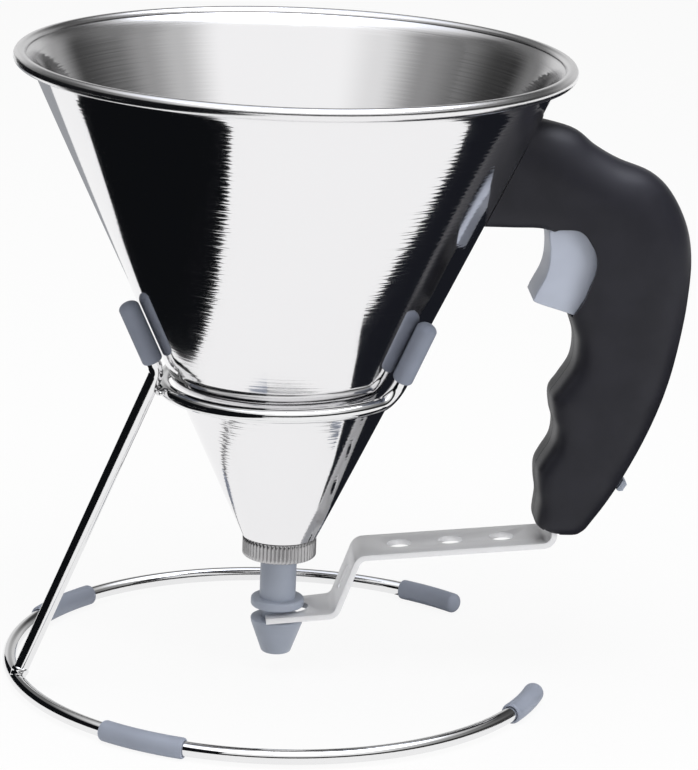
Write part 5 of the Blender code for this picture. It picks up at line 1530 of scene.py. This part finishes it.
def build_stand(settings):
    """Base ring, upper ring and leg, with their caps, sleeves and welds."""
    base, upper, leg = base_wire(), upper_wire(settings), leg_wire(settings)
    for name, wire in (("base_ring", base), ("upper_ring", upper), ("leg", leg)):
        build_wire(name, wire, settings)

    def cap_ends(node, wire, depth):
        """A cap on the start of a wire, or on its end."""
        if node.endswith("rear"):
            build_cap(node, wire, depth - CAP_END, -CAP_END, settings)
        else:
            build_cap(node, wire, wire.length - depth + CAP_END, wire.length + CAP_END,
                      settings)

    cap_ends("base_cap_rear", base, CAP_LENGTH)
    cap_ends("base_cap_front", base, CAP_LENGTH)
    turn, half = BASE_SLEEVE_TURN * BASE_RING_RADIUS, SLEEVE_LENGTH / 2
    for node, centre in (("base_sleeve_rear", base.length / 2 - turn),
                         ("base_sleeve_front", base.length / 2 + turn)):
        build_sleeve(node, base, centre - half, centre + half, settings)
    for side, wire in (("rear", upper), ("front", upper), ("left", leg)):
        cap_ends("prong_sleeve_" + side, wire, PRONG_SLEEVE_LENGTH)
    radius = settings.wire_radius
    foot = leg.points[0]
    ahead = (leg.points[1] - foot).normalized()
    build_weld("foot_weld", foot + ahead * radius, ahead, radius, FOOT_WELD)
    turn = STAND_TURN + math.pi + LEG_TURN
    middle = radius + LEG_CLEARANCE / 2
    touch = dipped(ring_radius(radius) + middle, turn, UPPER_RING_HEIGHT)
    build_weld("ring_weld", touch, polar(1, turn + math.pi / 2, 0), radius, RING_WELD)


# Studio

def stage_net(owner):
    """An empty net for a stage piece's material or for the world."""
    owner.use_nodes = True
    owner.node_tree.nodes.clear()
    return Net(owner.node_tree)


def flat_piece(name, points, finish):
    """A flat stage piece through its corners, and the net of its material."""
    bm = bmesh.new()
    bm.faces.new([bm.verts.new(point) for point in points])
    bmesh.ops.recalc_face_normals(bm, faces=bm.faces)
    for face in bm.faces:
        if face.normal.z < 0:
            face.normal_flip()
    obj = add_object(name, mesh_of(name, bm))
    obj.data.materials.append(bpy.data.materials.new(finish))
    return obj, stage_net(obj.data.materials[0])


def build_floor(settings):
    """A wide pale floor that keeps the shadow."""
    far, low = FLOOR_REACH, -FLOOR_DROP
    corners = ((-far, -far, low), (far, -far, low), (far, far, low), (-far, far, low))
    net = flat_piece("floor", corners, "floor_white")[1]
    light = net.add("ShaderNodeLightPath").outputs
    seen = net.math("MAXIMUM", light["Is Camera Ray"], net.math(
        "MAXIMUM", light["Is Glossy Ray"], light["Is Transmission Ray"]))
    paper = net.add("ShaderNodeBsdfDiffuse", {"Color": (*settings.floor_white, 1.0)})
    glow = net.add("ShaderNodeEmission", {"Color": WHITE, "Strength": 1.0})
    mixed = net.add("ShaderNodeMixShader", {
        0: net.math("MULTIPLY", seen, settings.floor_glow), 1: paper, 2: glow})
    net.add("ShaderNodeOutputMaterial", {"Surface": mixed})


# Dark cards that lie on the floor and show only in polished metal: the colour
# and the outline in millimetres, on the camera's own axes round the cone
BLACK_CARD = (0.0045, 0.005, 0.006)
CARDS = {
    "left_card": (BLACK_CARD, (
        (-120, -700), (-115, -430), (-106, -230), (-106, -189), (-106, -170),
        (-107, -149), (-114, -124), (-119, -98), (-132, -59), (-142, -21), (-149, 15),
        (-165, 91), (-174, 156), (-190, 197), (-208, 200), (-234, 195), (-257, 174),
        (-278, 166), (-299, 160), (-319, 155), (-338, 170), (-440, 150), (-440, -230),
        (-640, -700))),
    "right_card": ((0.010, 0.011, 0.015), (
        (58, 10), (68, 2), (79, -4), (88, -6), (95, -15), (102, -22), (110, -38),
        (113, -45), (119, -55), (122, -66), (127, -73), (136, -68), (159, -59),
        (178, -53), (199, -42), (218, -32), (238, -23), (256, -17), (275, -11),
        (283, -16), (400, -20), (700, 0), (700, 700), (60, 700), (40, 300),
        (45, 60))),
    "back_card": ((0.33, 0.34, 0.36), (
        (-700, 396), (-150, 396), (-150, 900), (-700, 900))),
}
# Dark cards that stand on the left: foot as above, and height in metres
STANDING_CARDS = {
    "far_card": (((-450, -1200), (-450, 700)), 0.31),
    "near_card": (((-145, -430), (-330, -130)), 0.30),
}


def turn_to_row(x, y):
    """From the camera's own axes round the cone to the row frame."""
    turn = -CAMERA_TURN
    return (x * math.cos(turn) - y * math.sin(turn) + AXIS_X,
            x * math.sin(turn) + y * math.cos(turn))


def build_card(name, points, tone):
    """A card of an even tone that nothing shows but polished surfaces."""
    card, net = flat_piece(name, points, name)
    even = net.add("ShaderNodeEmission", {"Color": (*tone, 1.0), "Strength": 1.0})
    net.add("ShaderNodeOutputMaterial", {"Surface": even})
    for kind in ("camera", "diffuse", "shadow", "transmission"):
        setattr(card, "visible_" + kind, False)


def build_cards():
    for name, (tone, outline) in CARDS.items():
        points = [(*turn_to_row(x * MM, y * MM), CARD_LIFT) for x, y in outline]
        build_card(name, points, tone)
    for name, (foot, height) in STANDING_CARDS.items():
        low = [(*turn_to_row(x * MM, y * MM), 0.0) for x, y in foot]
        high = [(x, y, height) for x, y, _ in reversed(low)]
        build_card(name, low + high, BLACK_CARD)


# Brightness all round at three heights, as (azimuth in degrees, brightness)
ROOM_LOW = ((-180, 0.03), (-20, 0.02), (10, 0.04), (32, 0.06), (50, 0.35),
            (66, 0.62), (112, 0.72), (132, 0.2), (150, 0.03), (180, 0.03))
ROOM_MIDDLE = ((-180, 0.18), (-160, 0.29), (-135, 0.80), (-112, 1.0), (-50, 1.0),
               (-26, 0.54), (-8, 0.33), (9, 0.20), (42, 0.08), (70, 0.05),
               (130, 0.16), (158, 0.07), (180, 0.20))
ROOM_HIGH = ((-180, 0.80), (-120, 1.0), (-60, 1.0), (0, 0.8), (60, 0.6), (120, 0.6),
             (180, 0.80))
# The same overhead, where the softbox hangs
ROOM_TOP = ((-180, 0.15), (-140, 0.3), (-105, 1.0), (-15, 1.0), (25, 0.4), (90, 0.12),
            (180, 0.15))
SOFTBOX = (8.0, 8.3, 9.1)   # colour of the light over the camera's shoulder
FIRST_BOUNCE = 1.5          # glossy depth up to which the softbox shows


def ramp_of(net, value, stops):
    """A grey ramp through (azimuth, brightness) stops."""
    node = net.add("ShaderNodeValToRGB", {0: value})
    ramp = node.color_ramp
    ramp.interpolation = "EASE"
    while len(ramp.elements) > 1:
        ramp.elements.remove(ramp.elements[-1])
    for i, (azimuth, bright) in enumerate(stops):
        spot = (azimuth + 180) / 360
        element = ramp.elements[0] if i == 0 else ramp.elements.new(spot)
        element.position = spot
        element.color = (bright, bright, bright, 1.0)
    return node.outputs[0]


def build_room(settings):
    """White to the eye; soft even light, and a studio for the metal to show."""
    world = bpy.data.worlds.new("studio")
    bpy.context.scene.world = world
    net = stage_net(world)
    parts, turn = net.split(net.add("ShaderNodeTexCoord").outputs["Generated"])
    azimuth = net.math("FRACT", net.math("MULTIPLY_ADD", turn, 1 / (2 * math.pi),
                                         0.5 + math.degrees(CAMERA_TURN) / 360))
    low, middle, high, top = [ramp_of(net, azimuth, stops) for stops in
                              (ROOM_LOW, ROOM_MIDDLE, ROOM_HIGH, ROOM_TOP)]
    light = net.add("ShaderNodeLightPath").outputs
    first = net.math("LESS_THAN", light["Glossy Depth"], FIRST_BOUNCE)
    softbox = net.blend_of(first, top, net.vector("MULTIPLY", {0: top, 1: SOFTBOX}))

    def between(start, end):
        """How far the view has risen from one elevation to another."""
        return net.spread(parts[2], math.sin(math.radians(start)),
                          math.sin(math.radians(end)), 0.0, 1.0)

    shown = net.blend_of(between(15, 27), low, middle)
    shown = net.blend_of(between(38, 50), shown, high)
    shown = net.blend_of(between(50, 62), shown, softbox)
    even = settings.room_light
    rest = net.blend_of(light["Is Glossy Ray"], (even, even, even, 1.0), shown)
    total = net.blend_of(light["Is Camera Ray"], rest, WHITE)
    glow = net.add("ShaderNodeBackground", {"Color": total, "Strength": 1.0})
    net.add("ShaderNodeOutputWorld", {"Surface": glow})


def build_lamps(settings):
    """A key lamp overhead, and a weaker one low at the front right."""
    for name, part, size, spot in (("key", 1.0, (1.5, 1.2), (-0.15, -0.35, 1.6)),
                                   ("fill", 0.5, (0.7, 0.9), (1.3, -1.1, 0.5))):
        data = bpy.data.lights.new(name, "AREA")
        data.energy = settings.key_light * part
        data.shape = "RECTANGLE"
        data.size, data.size_y = size
        lamp = add_object(name, data)
        lamp.location = spot
        lamp.visible_glossy = False
        aim = Vector(LAMP_AIM) - Vector(spot)
        lamp.rotation_euler = aim.to_track_quat("-Z", "Y").to_euler()


def swing(first, second, turn):
    """Two directions at right angles, turned in their plane."""
    return (first * math.cos(turn) + second * math.sin(turn),
            second * math.cos(turn) - first * math.sin(turn))


def build_camera():
    """The photograph's camera: fitted place, aim, roll and lens."""
    rise, run = math.sin(CAMERA_ELEVATION), math.cos(CAMERA_ELEVATION)
    ahead, right = Vector((0, run, -rise)), Vector((1, 0, 0))
    up = right.cross(ahead)
    aside, over = (-math.atan(part / FOCAL_PIXELS) for part in CAMERA_ASIDE)
    ahead, right = swing(ahead, right, aside)
    up, ahead = swing(up, ahead, over)
    right, up = swing(right, up, CAMERA_ROLL)
    place = Matrix((right, up, -ahead)).transposed().to_4x4()
    place.translation = Vector((0, -CAMERA_DISTANCE * run,
                                CAMERA_AIM_HEIGHT + CAMERA_DISTANCE * rise))
    data = bpy.data.cameras.new("photo_camera")
    data.sensor_width = SENSOR
    data.sensor_fit = "AUTO"
    data.lens = FOCAL_PIXELS * SENSOR / IMAGE_HEIGHT
    data.clip_start = CAMERA_CLIP
    camera = add_object("photo_camera", data)
    turn = Matrix.Rotation(-CAMERA_TURN, 4, "Z")
    camera.matrix_world = Matrix.Translation(SHIFT) @ turn @ place
    bpy.context.scene.camera = camera


# Operators

class FUNNEL_OT_finishes(bpy.types.Operator):
    """Build every finish that the pieces use"""
    bl_idname = "funnel.finishes"
    bl_label = "Finishes"

    def execute(self, context):
        make_materials(context.scene)
        return {"FINISHED"}


class FUNNEL_OT_cone(bpy.types.Operator):
    """Build the spun cone and the spout in its foot"""
    bl_idname = "funnel.cone"
    bl_label = "Cone and spout"

    def execute(self, context):
        build_cone(context.scene.funnel_cone_settings)
        build_spout()
        return {"FINISHED"}


class FUNNEL_OT_outlet(bpy.types.Operator):
    """Build the fluted ring nut and the nozzle"""
    bl_idname = "funnel.outlet"
    bl_label = "Nut and nozzle"

    def execute(self, context):
        build_nut(context.scene.funnel_outlet_settings)
        build_nozzle()
        return {"FINISHED"}


class FUNNEL_OT_lever(bpy.types.Operator):
    """Build the bent lever strip"""
    bl_idname = "funnel.lever"
    bl_label = "Lever strip"

    def execute(self, context):
        build_lever(context.scene.funnel_lever_settings)
        return {"FINISHED"}


class FUNNEL_OT_handle(bpy.types.Operator):
    """Build the two half shells of the handle"""
    bl_idname = "funnel.handle"
    bl_label = "Handle"

    def execute(self, context):
        build_handle(context.scene.funnel_handle_settings)
        return {"FINISHED"}


class FUNNEL_OT_trigger(bpy.types.Operator):
    """Build the trigger and the slider at the grip's back"""
    bl_idname = "funnel.trigger"
    bl_label = "Trigger and slider"

    def execute(self, context):
        build_trigger(context.scene.funnel_handle_settings)
        build_selector()
        return {"FINISHED"}


class FUNNEL_OT_fasteners(bpy.types.Operator):
    """Set out the screws and finish the linkage"""
    bl_idname = "funnel.fasteners"
    bl_label = "Screws and linkage"

    def execute(self, context):
        build_screws()
        paint_linkage()
        return {"FINISHED"}


class FUNNEL_OT_stand(bpy.types.Operator):
    """Build the wire stand with its sleeves"""
    bl_idname = "funnel.stand"
    bl_label = "Wire stand"

    def execute(self, context):
        build_stand(context.scene.funnel_stand_settings)
        return {"FINISHED"}


class FUNNEL_OT_stage(bpy.types.Operator):
    """Build the floor, the light and the camera"""
    bl_idname = "funnel.stage"
    bl_label = "Stage"

    def execute(self, context):
        settings = context.scene.funnel_stage_settings
        build_floor(settings)
        build_cards()
        build_room(settings)
        build_lamps(settings)
        build_camera()
        context.scene.view_settings.view_transform = "Standard"
        return {"FINISHED"}


OPERATORS = (FUNNEL_OT_finishes, FUNNEL_OT_cone, FUNNEL_OT_outlet, FUNNEL_OT_lever,
             FUNNEL_OT_handle, FUNNEL_OT_trigger, FUNNEL_OT_fasteners,
             FUNNEL_OT_stand, FUNNEL_OT_stage)


class FUNNEL_PT_panel(bpy.types.Panel):
    """Sizes, colours and build steps of the funnel"""
    bl_idname = "FUNNEL_PT_panel"
    bl_label = "Fondant funnel"
    bl_space_type = "VIEW_3D"
    bl_region_type = "UI"
    bl_category = "Funnel"

    def draw(self, context):
        for operator in OPERATORS:
            self.layout.operator(operator.bl_idname)
        for name, group in SETTINGS.items():
            box = self.layout.box()
            for key in group.__annotations__:
                box.prop(getattr(context.scene, name), key)


def register():
    for group in SETTINGS.values():
        bpy.utils.register_class(group)
    for operator in OPERATORS:
        bpy.utils.register_class(operator)
    bpy.utils.register_class(FUNNEL_PT_panel)
    for name, group in SETTINGS.items():
        setattr(bpy.types.Scene, name, PointerProperty(type=group))


def unregister():
    for name in SETTINGS:
        delattr(bpy.types.Scene, name)
    bpy.utils.unregister_class(FUNNEL_PT_panel)
    for operator in reversed(OPERATORS):
        bpy.utils.unregister_class(operator)
    for group in reversed(SETTINGS.values()):
        bpy.utils.unregister_class(group)


def main():
    register()
    bpy.ops.funnel.finishes()
    bpy.ops.funnel.cone()
    bpy.ops.funnel.outlet()
    bpy.ops.funnel.lever()
    bpy.ops.funnel.handle()
    bpy.ops.funnel.trigger()
    bpy.ops.funnel.fasteners()
    bpy.ops.funnel.stand()
    bpy.ops.funnel.stage()


if __name__ == "__main__":
    main()
